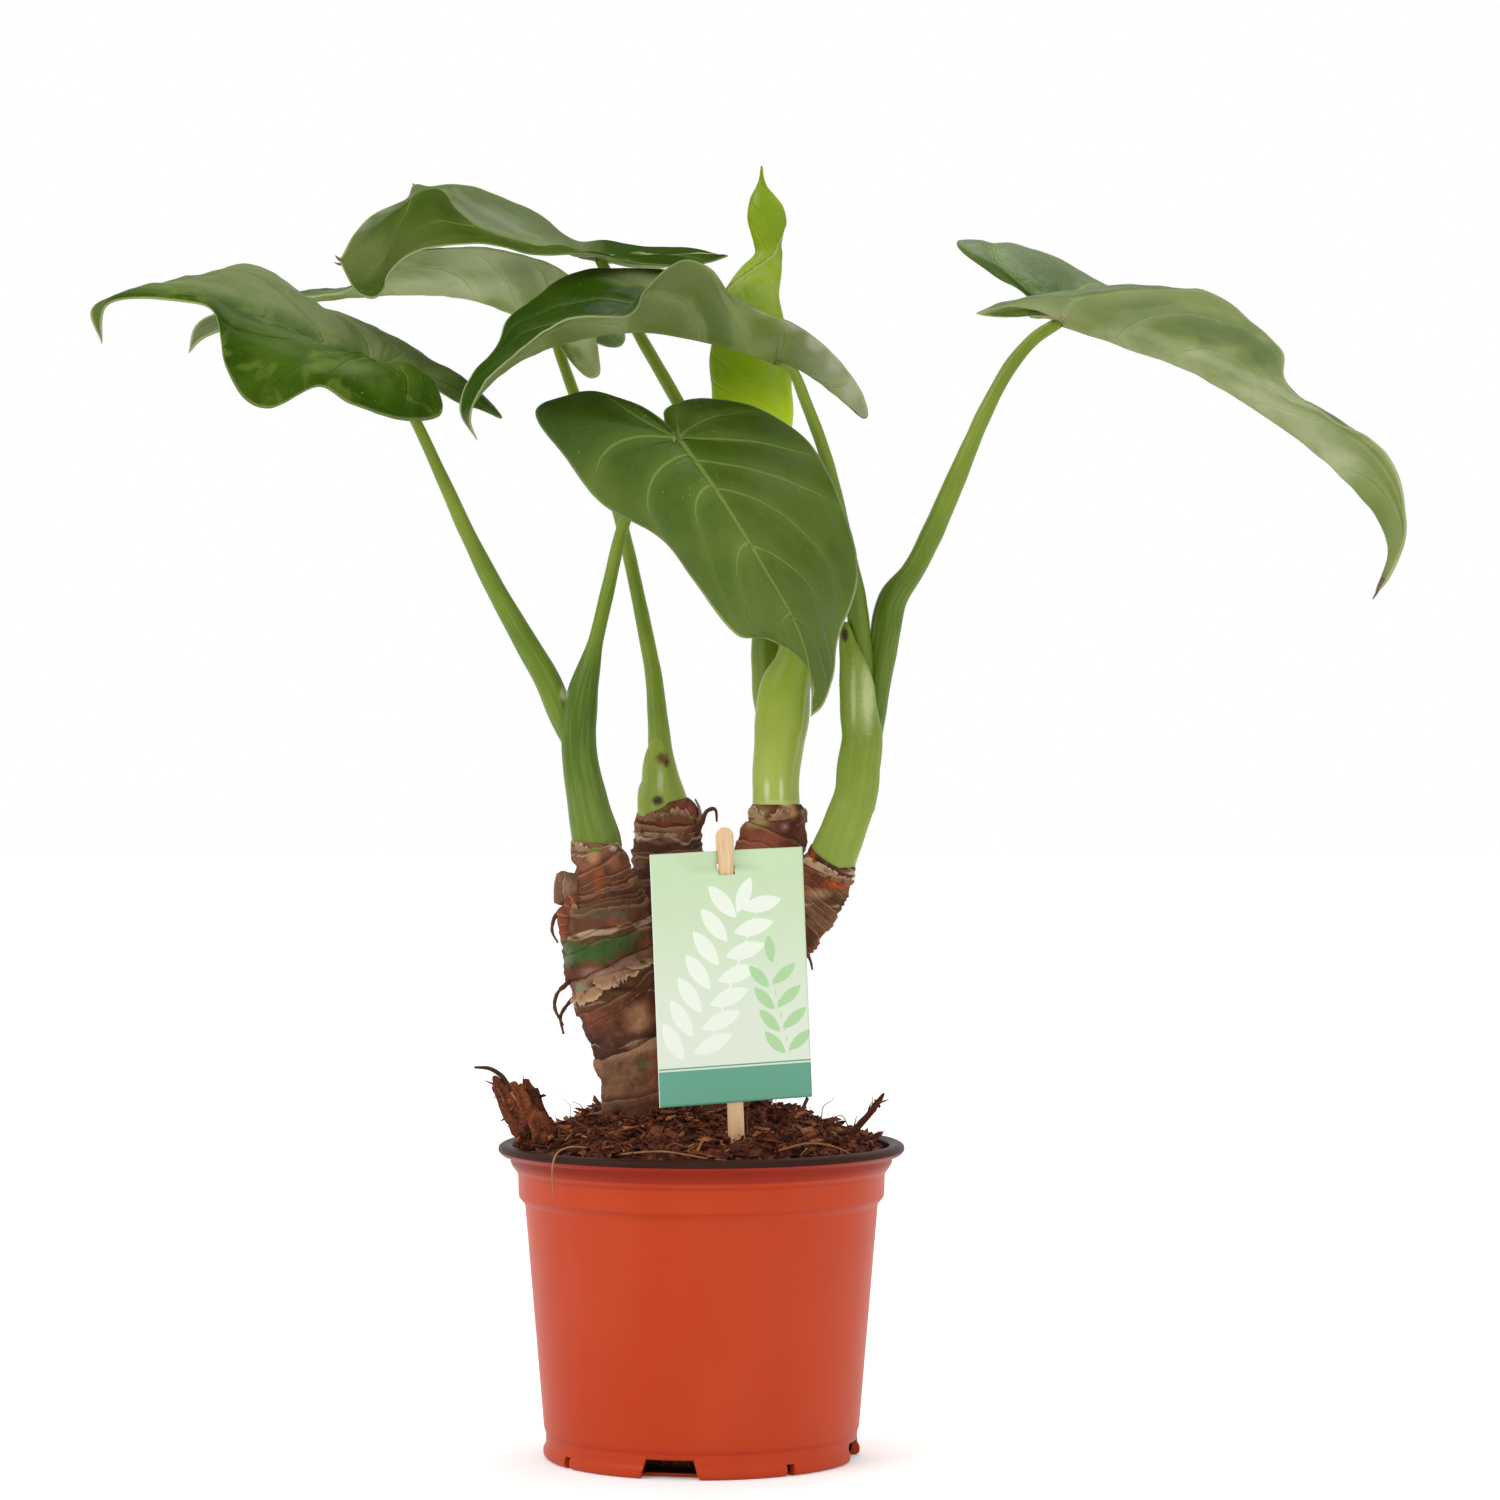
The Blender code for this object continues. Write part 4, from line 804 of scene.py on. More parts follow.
BARK_MARKS = {  # (height, half height, strength) of the bands that stand out on each trunk
    "left": {
        "green": [(148, 1.5, 0.5)],
        "pale": [(182.8, 1.3, 1.3), (143.6, 0.5, 0.7), (158.3, 0.5, 0.9), (210.8, 0.5, 0.9)],
        "red": [(204, 5, 0.4), (152, 5, 0.5)],
    },
    "middle": {"green": [(204, 1.6, 0.7)], "pale": [(212, 0.8, 0.9), (206, 1, 0.7)], "red": [(220, 4, 1.1)]},
    "centre": {"green": [(190, 4, 0.4)], "pale": [(204, 1.2, 0.5)], "red": [(213, 5, 0.8)]},
    "right": {
        "green": [(193, 1.5, 0.5)], "pale": [(201, 1, 0.9), (190, 1.2, 0.8)], "red": [(197, 4, 0.8), (172, 4, 0.5)],
    },
}
BARK_SPOTS = [  # (centre, half size, share, colour) of scars, stains, the bud's eye, a painted highlight on the left trunk's head and a painted shadow under its flare
    ((-21.6, -22, 152.2), (5.8, 10, 6), 0.85, (172, 126, 92)),
    ((-20, -22, 142.4), (5, 10, 2.8), 0.7, (176, 132, 104)), ((-36, -23, 151), (7, 10, 6.5), 0.6, (134, 78, 60)),
    ((-40.5, -18, 160.6), (4.5, 9, 3.2), 0.85, (150, 156, 124)),
    ((-36.7, -19, 207), (2.6, 5, 3.2), 0.7, (186, 144, 104)), ((-29.5, -19, 205), (2.6, 5, 3), 0.5, (166, 104, 74)),
    ((-34.7, -20, 199.5), (1.9, 6, 8), 0.75, (150, 78, 44)),
    # painted highlight: the first, near-white blot on the next line, on the left trunk's head
    ((-29.5, -19, 209.4), (2, 4, 1.1), 0.85, (232, 204, 184)), ((-33, -24, 134), (2, 8, 9), 0.5, (70, 44, 38)),
    ((-29, -24, 133.5), (1, 6, 6), 0.4, (160, 130, 115)), ((-43, -16, 174), (10, 16, 5), 0.9, (58, 90, 44)),
    ((-35, -22, 174.6), (9, 14, 4.6), 0.9, (56, 90, 42)), ((-28, -24, 177.4), (8, 12, 3.2), 0.85, (58, 90, 44)),
    ((-22, -24, 180.4), (7, 12, 1.8), 0.7, (60, 88, 46)), ((-47, -14, 173), (4, 12, 5), 0.6, (116, 132, 106)),
    # painted shadow: the second, dark band on the next line, just under the flare of the left trunk
    ((-21, -22, 116), (18, 22, 13), 0.8, (84, 46, 34)), ((-26, -22, 162), (6, 9, 1.4), 0.85, (58, 32, 30)),
    ((-34, -24, 167), (8, 10, 2.6), 0.6, (164, 126, 112)), ((-24, -22, 170), (7, 10, 3.4), 0.6, (160, 120, 106)),
    ((-34, -22, 187.5), (12, 12, 2.4), 0.6, (98, 92, 68)), ((-3.5, 12, 221), (7, 10, 5), 0.8, (152, 68, 56)),
    ((-16, 10, 221.8), (6, 8, 2.6), 0.8, (134, 118, 68)), ((18, -3, 220), (7, 8, 4.4), 0.8, (170, 148, 90)),
    ((30, -3, 222.4), (3.6, 6, 3.6), 0.85, (216, 156, 108)), ((28.9, -5, 216.6), (4.8, 6, 4.8), 0.85, (72, 42, 42)),
    ((28.9, -6, 216.6), (2.3, 5, 2.3), 0.8, (130, 86, 80)), ((28.9, -6, 216.6), (0.9, 4, 0.9), 0.6, (176, 138, 124)),
    ((24, -4, 220), (2, 5, 2.6), 0.8, (74, 40, 30)), ((22, -5, 211), (9, 8, 4), 0.6, (140, 78, 62)),
    ((38, -15, 205), (1.4, 6, 4), 0.8, (200, 84, 36)), ((47, -14, 197.5), (6, 8, 2), 0.85, (196, 88, 44)),
    ((40, -16, 194), (5, 8, 2), 0.6, (190, 152, 112)),
]
BUDS = [(28.9, -4.5, 216.6, 1.6, 3), (-37, -22, 151, 0.6, 6), (18, -3, 219, 1, 5)]  # (x, y, z, height, width)
SCRAPS = {  # (height, turn, span, rise, flare, tone) of the loose papers seen in front of each trunk, turns in radians
    "left": [
        (166, 3.5, 1, -4.5, 1.6, 0.45), (168, 4.3, 0.9, -5, 1.9, 0.5), (170.5, 5, 0.9, -4, 1.4, 0.55),
        (186, 3.3, 0.7, 6, 1.2, 0.1), (210, 4.9, 0.8, 2.2, 0.5, 0.9), (209.6, 3.6, 0.9, 1.8, 0.4, 0.8),
    ],
    "middle": [
        (218.5, 3.1, 1.5, 5.5, 0.3, 0.2), (218, 4.5, 1.3, 5.2, 0.4, 0), (217, 5.7, 1.2, 6.5, 0.8, 0.05),
        (213.6, 3.4, 2.2, 1.6, 0.7, 0.9),
    ],
    "centre": [(219.5, 3.2, 1.1, 4.2, 0.5, 0.85), (219, 4.4, 1.1, 4.4, 0.4, 0.3), (218, 5.4, 1, 5.5, 0.6, 0.1)],
    "right": [(201, 3.6, 1.5, 3.8, 0.5, 0.9), (200, 4.9, 1.3, 3.4, 0.6, 0.1)],
}
ROOTLETS = [  # fibres on the bark, (x, y, z, radius)
    [(-2, 15, 214, 1.2), (0, 13, 218, 0.9), (2, 12, 222, 0.7), (4.6, 12, 222.4, 0.6), (5.2, 12, 218, 0.35)],
    [(-46, -10, 190, 0.9), (-50, -12, 186, 0.7), (-51, -12, 181, 0.5), (-49, -12, 177, 0.3)],
    [(-45, -12, 164, 0.9), (-49, -14, 160, 0.7), (-50, -14, 155, 0.6), (-47, -15, 149, 0.3)],
    [(-44, -10, 158, 0.8), (-48, -13, 152, 0.6), (-47, -14, 146, 0.35)],
    [(34, -14, 176, 0.7), (37, -17, 172, 0.5), (38, -17, 168, 0.3)],
]


def bark_tube(tube, starts, depths, seed, tilt):
    """Gives a stem the rings of its old leaf bases, from these runs on. Returns each point's place among them."""
    base = tube.points()
    run = tube.run[:, None]
    lean = tilt + 0.5 * ripple(base, 12, seed) + 0.14 * ripple(base, 3.5, seed + 1)
    ring = np.interp(run + lean, starts, np.arange(len(starts)))
    part = ring % 1
    for *centre, height, width in BUDS:
        tube.radius = tube.radius + height * np.exp(-((np.linalg.norm(base - centre, axis=2) / width) ** 2))
    depth = np.asarray(depths)[ring.astype(int)]
    part = np.where(depth < 0, 1 - part, part)
    relief = np.abs(depth) * (1.25 * part**1.6 - 0.75)
    relief += 0.5 * ripple(base, 8, seed + 2) + 0.12 * ripple(base, 2.2, seed + 3)
    tube.radius = tube.radius + relief * step(tube.run[-1] - run, 0, 3)
    return ring


def trunk_rings(name, tube, seed):
    """Where the rings of a trunk start, how deep they are, and how far each of its points leans along it."""
    base = tube.points()
    if name == "left":
        starts, depths = np.array(LEFT_RINGS).T
        slope = LEFT_SLOPE + 0.14 * np.exp(-(((base[..., 2] - 170) / 6) ** 2))
        return starts - TRUNK_FOOT, depths, -slope * (base[..., 0] - tube.path[:, :1])
    random = np.random.default_rng(seed)
    zone_at, zone_gap, zone_depth = np.array(BARK_ZONES[name], float).T
    starts = [-12.0]
    while starts[-1] < tube.run[-1] + 12:
        starts.append(starts[-1] + np.interp(starts[-1], zone_at, zone_gap) * random.uniform(0.6, 1.4))
    depths = np.interp(starts, zone_at, zone_depth) * random.uniform(0.5, 1.4, len(starts))
    turn, run = tube.turn[None, :], tube.run[:, None]
    return starts, depths, 2.2 * (np.sin(run / 31 + seed) * np.cos(turn) + np.cos(run / 23 + 2 * seed) * np.sin(turn))


def make_trunks():
    heap = Heap()
    papers = Heap()
    for number, (name, guide) in enumerate(TRUNKS.items()):
        x, y, _, radius = guide[0]
        guide = [(x, y, TRUNK_FOOT, radius), *guide, HEAD_RIMS[name]]
        tube = Tube(guide, int(guide_length(guide) / BARK_ROW), BARK_SIDES)
        starts, depths, tilt = trunk_rings(name, tube, 20 + number)
        ring = bark_tube(tube, starts, depths, 20 + number, tilt)
        points, faces = tube.closed()
        marks = {}
        slope = LEFT_SLOPE * (points[:, 0] - points[:, 0].mean()) if name == "left" else 0
        for kind, bands in BARK_MARKS[name].items():
            height = points[:, 2] + 0.8 * ripple(points, 9, 5) - slope
            weight = sum(s * np.exp(-(((height - z) / h) ** 2)) for z, h, s in bands)
            marks[kind] = np.clip(weight * (0.8 + 0.3 * ripple(points, 13, 31 + number)), 0, 1)
        heap.add(points, faces, ring=tube.spread(ring) + 40 * number, **marks)
        random = np.random.default_rng(60 + number)
        for height, *scrap in SCRAPS[name]:
            add_scrap(papers, tube, random, np.interp(height, tube.path[:, 2], tube.run), *scrap)
        for _ in range(RANDOM_SCRAPS):
            span = random.uniform(0.5, 1.7)
            start, turn = random.uniform(0.22, 0.9) * tube.run[-1], random.uniform(0, math.pi - span)
            rise, flare, tone = random.uniform(1.6, 4), random.uniform(0.5, 1.5), random.uniform(0, 1)
            add_scrap(papers, tube, random, start, turn, span, rise, flare, tone)
    for number, guide in enumerate(SIDE_SHOOTS):
        tube = Tube(guide, SHOOT_ROWS, SHOOT_SIDES)
        starts = np.arange(-4, 60, SHOOT_RING)
        ring = bark_tube(tube, starts, np.full(len(starts), 0.35), 9 + number, 0)
        points, faces = tube.closed()
        pale = np.clip((-points[:, 0] - 40) / 5, 0, 0.5) * (1 - number)
        heap.add(points, faces, ring=tube.spread(ring) + 300 + 40 * number, green=0, pale=pale, red=0.1 + 0.5 * number)
    place(heap.piece("trunks_bark", BARK), "bark", "trunks")
    place(papers.piece("trunks_scales", PAPER), "bark")
    roots = Heap()
    for guide in ROOTLETS:
        tube = Tube(guide, 22, 8)
        tube.radius = tube.radius * (1 + 0.15 * ripple(tube.points(), 2.5, 4))
        roots.add(*tube.closed(), tone=0.3)
    place(roots.piece("trunks_rootlets", FIBRE), "bark")


def add_scrap(heap, tube, random, start, turn, span, rise, flare, tone):
    """A dry, ragged scrap of an old leaf base, up or down from this run of a stem."""
    columns, rows = 26, 6
    tops = 1 - 0.5 * random.random(columns) ** 2
    tops *= np.sin(np.linspace(0.12, math.pi - 0.12, columns)) ** 0.4
    grid = []
    for share in np.linspace(0, 1, rows):
        for column, angle in enumerate(np.linspace(turn, turn + span, columns)):
            run = start + rise * share * tops[column] + 0.6 * math.sin(angle * 2 + tone * 9)
            k = int(np.clip(np.interp(run, tube.run, np.arange(tube.rows)), 0, tube.rows - 1))
            spoke = math.cos(angle) * tube.side[k] + math.sin(angle) * tube.back[k]
            reach = tube.path[k, 3] + 0.4 + flare * share**1.5 + 0.15 * math.sin(angle * 9 + tone * 9)
            grid.append(tube.path[k, :3] + tube.ahead[k] * (run - tube.run[k]) + spoke * reach)
    faces = [
        (r * columns + c, r * columns + c + 1, (r + 1) * columns + c + 1, (r + 1) * columns + c)
        for r in range(rows - 1) for c in range(columns - 1)
    ]
    heap.add(np.array(grid), faces, tone=tone, share=np.repeat(np.linspace(0, 1, rows), columns))


def bark_finish():
    f = Finish("bark", 0.8, Specular_IOR_Level=0.08)
    ring, green, pale, red = f.data("ring"), f.data("green"), f.data("pale"), f.data("red")
    part = f.calc("FRACT", ring)
    toss = f.chance(f.calc("FLOOR", ring))
    browns = (0.0, (78, 50, 38)), (0.35, (110, 72, 52)), (0.6, (96, 56, 40)), (0.8, (130, 94, 68)), (1.0, (102, 68, 48))
    f.tone = f.ramp(toss, *browns)
    f.over((70, 44, 34), 0.8, f.fade(f.noise(6, 4, distortion=0.6), 0.46, 0.72))
    f.over((146, 84, 56), 0.6, f.fade(f.noise(13, 3), 0.5, 0.68))
    f.over((92, 104, 62), 0.5, f.fade(f.noise(9, 3), 0.6, 0.72))
    f.over((158, 74, 46), 0.6, red)
    f.over((62, 96, 46), 0.85, f.fade(green, 0.3, 0.8))
    f.over((196, 170, 140), 0.75, f.fade(pale, 0.35, 0.8))
    # painted highlight along the proud upper lip of each ring, on some rings
    f.over((180, 138, 106), 0.42, f.fade(part, 0.72, 0.95), f.fade(toss, 0.1, 0.6))
    f.blots(BARK_SPOTS, 2.5)
    # painted shadow in the groove just above the lip of the ring below
    f.over((48, 29, 22), 0.6, f.fade(part, 0.2, 0.0))
    f.over((48, 32, 26), 0.5, f.fade(f.noise(1.1, 2), 0.62, 0.75))
    f.over((38, 20, 14), 0.19)
    grain = f.add(f.times(f.noise(1.4, 4), 0.55), f.times(f.noise(0.5, 2), 0.12), f.times(part, 0.3))
    return f.done(f.add(0.6, f.times(f.noise(4, 2), 0.35)), grain)


def paper_finish():
    f = Finish("dry_scale", 0.75, Specular_IOR_Level=0.1)
    browns = (0.0, (120, 78, 56)), (0.4, (166, 124, 92)), (0.7, (112, 92, 74)), (1.0, (196, 160, 126))
    f.tone = f.ramp(f.data("tone"), *browns)
    f.over((206, 178, 142), 0.5, f.fade(f.data("share"), 0.5, 1.0))
    f.over((76, 50, 38), 1.0, f.fade(f.noise(3, 3), 0.5, 0.75))
    return f.done(None, f.times(f.noise(0.9, 3), 0.3), 0.2, even_glow=True)


def fibre_finish():
    f = Finish("fibre", 0.8, Specular_IOR_Level=0.2)
    browns = (0.0, (52, 28, 18)), (0.35, (96, 56, 36)), (0.7, (140, 92, 58)), (1.0, (186, 146, 102))
    f.tone = f.ramp(f.data("tone"), *browns)
    f.over((70, 40, 26), 0.6, f.noise(2, 2))
    return f.done(None, f.times(f.noise(0.5, 2), 0.12))


BARK, PAPER, FIBRE = bark_finish(), paper_finish(), fibre_finish()


# Stalks
STALK_ROW, STALK_SIDES = 1.2, 56
HEADS = {
    "stalks_left": ["to_front", "to_left"], "stalks_middle": ["to_back_low", "old_sheath"],
    "stalks_centre": ["to_back_high", "to_new_leaf"], "stalks_right": ["cut_stub", "to_centre", "to_right"],
}
# The trunk each stands on, where its sheath's edge runs in turns, how far up the sheath reaches in mm, how light it is,
# and how pale its foot is
STALK_LOOKS = {
    "to_front": ("left", 0.2, 60, 0, 0.25), "to_left": (None, 0.1, 24, 0.3, 0),
    "to_back_low": ("middle", 0.3, 40, 0.5, 0.4), "old_sheath": (None, 0.7, 12, 0.75, 0.45),
    "to_back_high": ("centre", 0.84, 60, 0.8, 1), "to_new_leaf": (None, 0.5, 20, 0.4, 0.7),
    "cut_stub": ("right", 0.92, 85, 0.5, 0.35), "to_centre": (None, 0.4, 20, 0.35, 0),
    "to_right": (None, 0.55, 62, 0.2, 0),
}
STALK_SPOTS = [  # (centre, half size, share, colour) of bruises, dry edges, pale streaks and two painted highlights on the centre sheath
    ((-13.6, 16, 240.2), (2.8, 6, 2.4), 0.95, (112, 66, 34)), ((-12.4, 16, 238.6), (1.4, 6, 2), 0.9, (74, 38, 24)),
    ((-15.4, 13, 225.4), (2.3, 6, 1.9), 0.95, (66, 38, 24)), ((-14.4, 14, 232.5), (1.3, 6, 5), 0.6, (198, 206, 166)),
    ((-20.5, 16, 233), (2, 8, 8), 0.5, (160, 180, 98)), ((49.2, -9, 282.4), (1.5, 6, 2.8), 0.95, (58, 34, 24)),
    ((54.4, -15, 262), (5.5, 10, 18), 0.25, (180, 190, 126)), ((57, -14, 262), (2.6, 8, 14), 0.5, (206, 210, 160)),
    ((52, -15, 262), (1, 8, 12), 0.4, (206, 210, 160)), ((-46.8, -9, 262.4), (2.2, 6, 3), 0.7, (208, 202, 162)),
    # painted highlights: two bright upright streaks on the foot of the centre sheath
    ((22.5, -3, 229), (1.1, 6, 5), 0.5, (226, 230, 190)), ((27.5, -3, 229), (0.9, 6, 5), 0.5, (226, 230, 190)),
    ((28, 0, 224.5), (10, 10, 1.6), 0.5, (206, 206, 140)),
]


def make_stalks():
    for number, (head, members) in enumerate(HEADS.items()):
        heap = Heap()
        for name in members:
            trunk, edge, reach, light, paleness = STALK_LOOKS[name]
            guide = [list(point) for point in STALKS[name]]
            if trunk:
                guide.insert(0, [*(np.array(guide[0][:3]) - (0, 0, 2.5)), guide[0][3] * 0.98])
            if name in CARRIES:
                hub = np.array(BLADES[CARRIES[name]]["midrib"][0])
                guide.append([*(hub - 0.9 * unit(hub - guide[-1][:3])), guide[-1][3] * 0.9])
            tube = Tube(guide, int(guide_length(guide) / STALK_ROW), STALK_SIDES)
            base = tube.points()
            run, radius = tube.run[:, None], tube.radius
            turned = (tube.turn[None, :] / (2 * math.pi) - edge - 0.0012 * run) % 1
            sheath = step(run, reach, reach * 0.7)
            lap = 0.09 * (turned - 0.5) * radius + 0.25 * np.exp(-((turned * 2 * math.pi * radius / 1.1) ** 2))
            fine = 0.05 * np.sin(tube.turn * 13 + ripple(base, 40, 3)) + 0.10 * ripple(base, 14, 50 + number)
            tube.radius = radius + sheath * lap + fine * np.minimum(1, radius / 4)
            near_edge = np.minimum(turned, 1 - turned) * 2 * math.pi * tube.radius
            data = {
                "run": tube.run,
                "cosine": np.cos(tube.turn)[None, :],
                "sine": np.sin(tube.turn)[None, :],
                "lip": sheath * np.exp(-((near_edge / 0.6) ** 2)),
                "pale": paleness * step(tube.run, 45, 0),
                "light": light + (0.52 - light) * step(tube.run, 40, 110),
            }
            heap.add(*tube.closed(), **{key: tube.spread(values) for key, values in data.items()})
        place(heap.piece(f"{head}_stems", STALK), "stalk", head)


def stalk_finish():
    f = Finish("stalk_skin", Specular_IOR_Level=0.24)
    along = f.join(f.times(f.data("cosine"), 5.0), f.times(f.data("sine"), 5.0), f.times(f.data("run"), 0.05))
    lines = f.noise(0.9, 2, along)
    shade = f.add(f.data("light"), f.times(f.noise(24, 2), 0.5), -0.25)
    f.tone = f.mix(f.fade(shade, 0.0, 1.0), (70, 97, 13), (146, 164, 54))
    f.over((152, 174, 76), 0.15, f.fade(lines, 0.4, 0.7))
    f.over((184, 196, 100), 0.6, f.data("pale"))
    f.over((196, 206, 122), 0.28, f.data("lip"))
    f.over((86, 110, 46), 0.35, f.fade(f.noise(1.1, 1), 0.74, 0.79))
    f.blots(STALK_SPOTS, 1.6)
    rough = f.add(0.27, f.times(f.noise(6, 2), 0.16))
    return f.done(rough, f.add(f.times(lines, 0.05), f.times(f.noise(1.2, 2), 0.02)), 0.12)


STALK = stalk_finish()


# The rolled leaf
NEW_LEAF_ROWS, NEW_LEAF_AROUND = 170, 110


def make_new_leaf():
    tube = Tube(NEW_LEAF, NEW_LEAF_ROWS, NEW_LEAF_AROUND)
    path = tube.path
    share = np.linspace(0, 1, NEW_LEAF_ROWS)[:, None]
    turns = np.arange(NEW_LEAF_AROUND)[None, :] / NEW_LEAF_AROUND
    turned = (turns - np.interp(share, *np.array(NEW_LEAF_EDGE).T)) % 1
    radius = path[:, 3:4]
    edge = turned * 2 * math.pi * radius
    roll = 0.12 * radius * np.exp(-((edge / 1.2) ** 2))
    reach = radius * (1 + NEW_LEAF_STEP * (turned - 0.5)) + roll
    angle = turns * 2 * math.pi
    ring = np.stack([reach * np.cos(angle), reach * np.sin(angle) * NEW_LEAF_FLATNESS, np.zeros_like(reach)], axis=-1)
    points = path[:, None, :3] + ring
    swell = 0.22 * np.sin((path[:, 2:3] + 9 * np.sin(angle)) / 2.6) * step(radius, 4, 9)
    points[..., 1] += swell * np.sin(angle)
    points[..., 0] += swell * np.cos(angle)
    data = {"turned": turned, "share": share[:, 0], "edge": np.minimum(edge, 40)}
    data = {key: tube.spread(values) for key, values in data.items()}
    place(mesh_piece("new_leaf_roll", *tube.closed(points), [YOUNG], data=data), "young_leaf", "new_leaf")


def young_finish():
    f = Finish("young_leaf", 0.34, Specular_IOR_Level=0.34)
    turned, share, edge = f.data("turned"), f.data("share"), f.data("edge")
    f.tone = f.mix(f.fade(f.noise(22, 2), 0.35, 0.65), (138, 164, 12), (158, 182, 28))
    # paler, yellower lower roll: partly its own colour, partly painted light standing in for light shining through the
    # roll
    f.over((204, 226, 30), 0.85, f.fade(share, 0.5, 0.36))
    f.over((112, 140, 34), 0.9, f.fade(share, 0.12, 0.0))
    f.over((112, 140, 10), 0.5, f.fade(share, 0.84, 0.9), f.fade(turned, 0.3, 0.4), f.fade(turned, 0.62, 0.5))
    # painted highlight: a pale, patchy lit band round the upper roll
    painted_highlight_noise = f.fade(f.noise(5, 2, distortion=0.6), 0.3, 0.6)
    f.over((170, 184, 106), 0.45, f.fade(share, 0.6, 0.68), f.fade(share, 0.82, 0.74), painted_highlight_noise)
    veins = f.fade(f.calc("PINGPONG", f.add(f.times(share, 22.0), f.times(turned, 5.0)), 0.5), 0.12, 0.0)
    f.over((178, 196, 80), 0.1, veins)
    f.over((196, 206, 140), 0.75, f.fade(edge, 2.4, 0.3))
    rough = f.add(0.26, f.times(f.noise(8, 2), 0.16))
    return f.done(rough, f.add(f.times(veins, -0.2), f.times(f.noise(2, 2), 0.06)), 0.42)


DRY_TIPS = [  # shrivelled points of the leaves, (x, y, z, radius)
    [(-102.4, 62, 442, 1.1), (-103.2, 62, 444.6, 0.7), (-104.4, 62, 446.4, 0.25)],
    [(-124.4, 20, 413.6, 0.9), (-127, 20, 414.6, 0.5), (-128.2, 20, 415.8, 0.15)],
    [(-124.6, 20, 413, 0.8), (-127, 20, 412.8, 0.4), (-128.6, 20, 413.4, 0.12)],
    [(234.6, -1, 302, 0.7), (233, 0, 297.6, 0.5), (231.4, 0, 295, 0.2)],
]


def make_tips():
    tips = Heap()
    for guide in DRY_TIPS:
        tips.add(*Tube(guide, 12, 8).closed(), tone=0.66, share=0)
    place(tips.piece("leaf_dry_tips", PAPER), "leaf")


YOUNG = young_finish()
make_tips()
make_trunks()
make_stalks()
make_new_leaf()


# Pot, as in the solids, with rounder corners and two colours of plastic
POT_SIDES = 224
POT_OUTSIDE = [
    (0, 0), (53.3, 0), (54.5, 1.0), (54.5, 3.2), (53.6, 4.4), (53.6, 8.4), (54.3, 10.4), (60.8, 87), (63.0, 89.6),
    (63.2, 97.4), (65.7, 101), (65.7, 103.6), (68.6, 103.8), (69.7, 105.0),
]
POT_LIP = [(70, 105.5), (69.8, 107), (68, 108)]
POT_INSIDE = [
    (64.7, 107.2), (64.7, 101.2), (62.0, 97.6), (61.9, 90), (59.8, 87.4), (52.6, 9), (51.6, 1.2), (0, 1.2),
]
FOOT_RADIUS = 54.5
NOTCH_TURN = -11.0
NOTCH, NICK = (22, 16, 6.6, 8), (3, 3, 4, 6)  # width, top width, height, depth


def rounded(profile, size=0.7, steps=4):
    """The profile with small arcs at its corners."""
    points = np.array(profile, float)
    out = [points[0]]
    for before, here, after in zip(points, points[1:], points[2:]):
        reach = min(size, 0.45 * np.linalg.norm(here - before), 0.45 * np.linalg.norm(after - here))
        a, b = here + unit(before - here) * reach, here + unit(after - here) * reach
        for w in np.linspace(0, 1, steps):
            out.append((1 - w) ** 2 * a + 2 * w * (1 - w) * here + w**2 * b)
    return np.array([*out, points[-1]])


def lathe(profile, sides):
    """Points and faces of a profile turned about the pot's axis. The profile starts and ends on the axis."""
    turns = np.arange(sides) * 2 * math.pi / sides
    inner = np.array(profile[1:-1], float)
    radius, height = inner[:, :1], inner[:, 1:]
    rings = np.stack([radius * np.cos(turns), radius * np.sin(turns), height * np.ones(sides)], axis=-1)
    ends = [(0, 0, profile[0][1]), (0, 0, profile[-1][1])]
    return np.concatenate([rings.reshape(-1, 3), ends]), ring_faces(len(inner), sides)


def foot_cutter(width, top_width, height, depth, turn):
    """A block that cuts a drain notch up and in from the pot's foot."""
    near, far = -FOOT_RADIUS - 2, depth - FOOT_RADIUS
    corners = []
    for half, z in ((width / 2, -2), (top_width / 2, height)):
        corners += [(-half, near, z), (half, near, z), (half, far, z), (-half, far, z)]
    faces = [(3, 2, 1, 0), (4, 5, 6, 7), (0, 1, 5, 4), (1, 2, 6, 5), (2, 3, 7, 6), (3, 0, 4, 7)]
    turned = Euler((0, 0, math.radians(turn))).to_matrix()
    return mesh_piece("cutter", [turned @ Vector(corner) for corner in corners], faces, [], smooth=False)


def pot_finish(name, colour, marks, gloss, shine, lines=()):
    """Moulded plastic. Lines are (from, to, share, colour) up the pot, such as the painted shadow under the lip."""
    f = Finish(name, gloss, Specular_IOR_Level=shine)
    flow = f.noise(1.0, 3, f.vector("MULTIPLY", f.place, (0.028, 0.028, 0.012)))
    f.tone = f.mix(f.times(f.fade(flow, 0.35, 0.7), 0.35), colour, marks)
    scuff = f.times(f.fade(f.noise(3.5, 5, distortion=1.2), 0.62, 0.72), f.fade(f.noise(26, 2), 0.55, 0.7))
    up = f.coordinate("Z")
    for low, high, share, tint in lines:
        f.over(tint, share, f.fade(up, low - 0.5, low + 0.5), f.fade(up, high + 0.5, high - 0.5))
    f.over(marks, 0.25, scuff)
    rough = f.add(gloss - 0.06, f.times(f.noise(14, 3), 0.12), f.times(scuff, 0.15))
    return f.done(rough, f.add(f.times(f.noise(0.45, 2), 0.02), f.times(f.noise(30, 1), 0.35)))


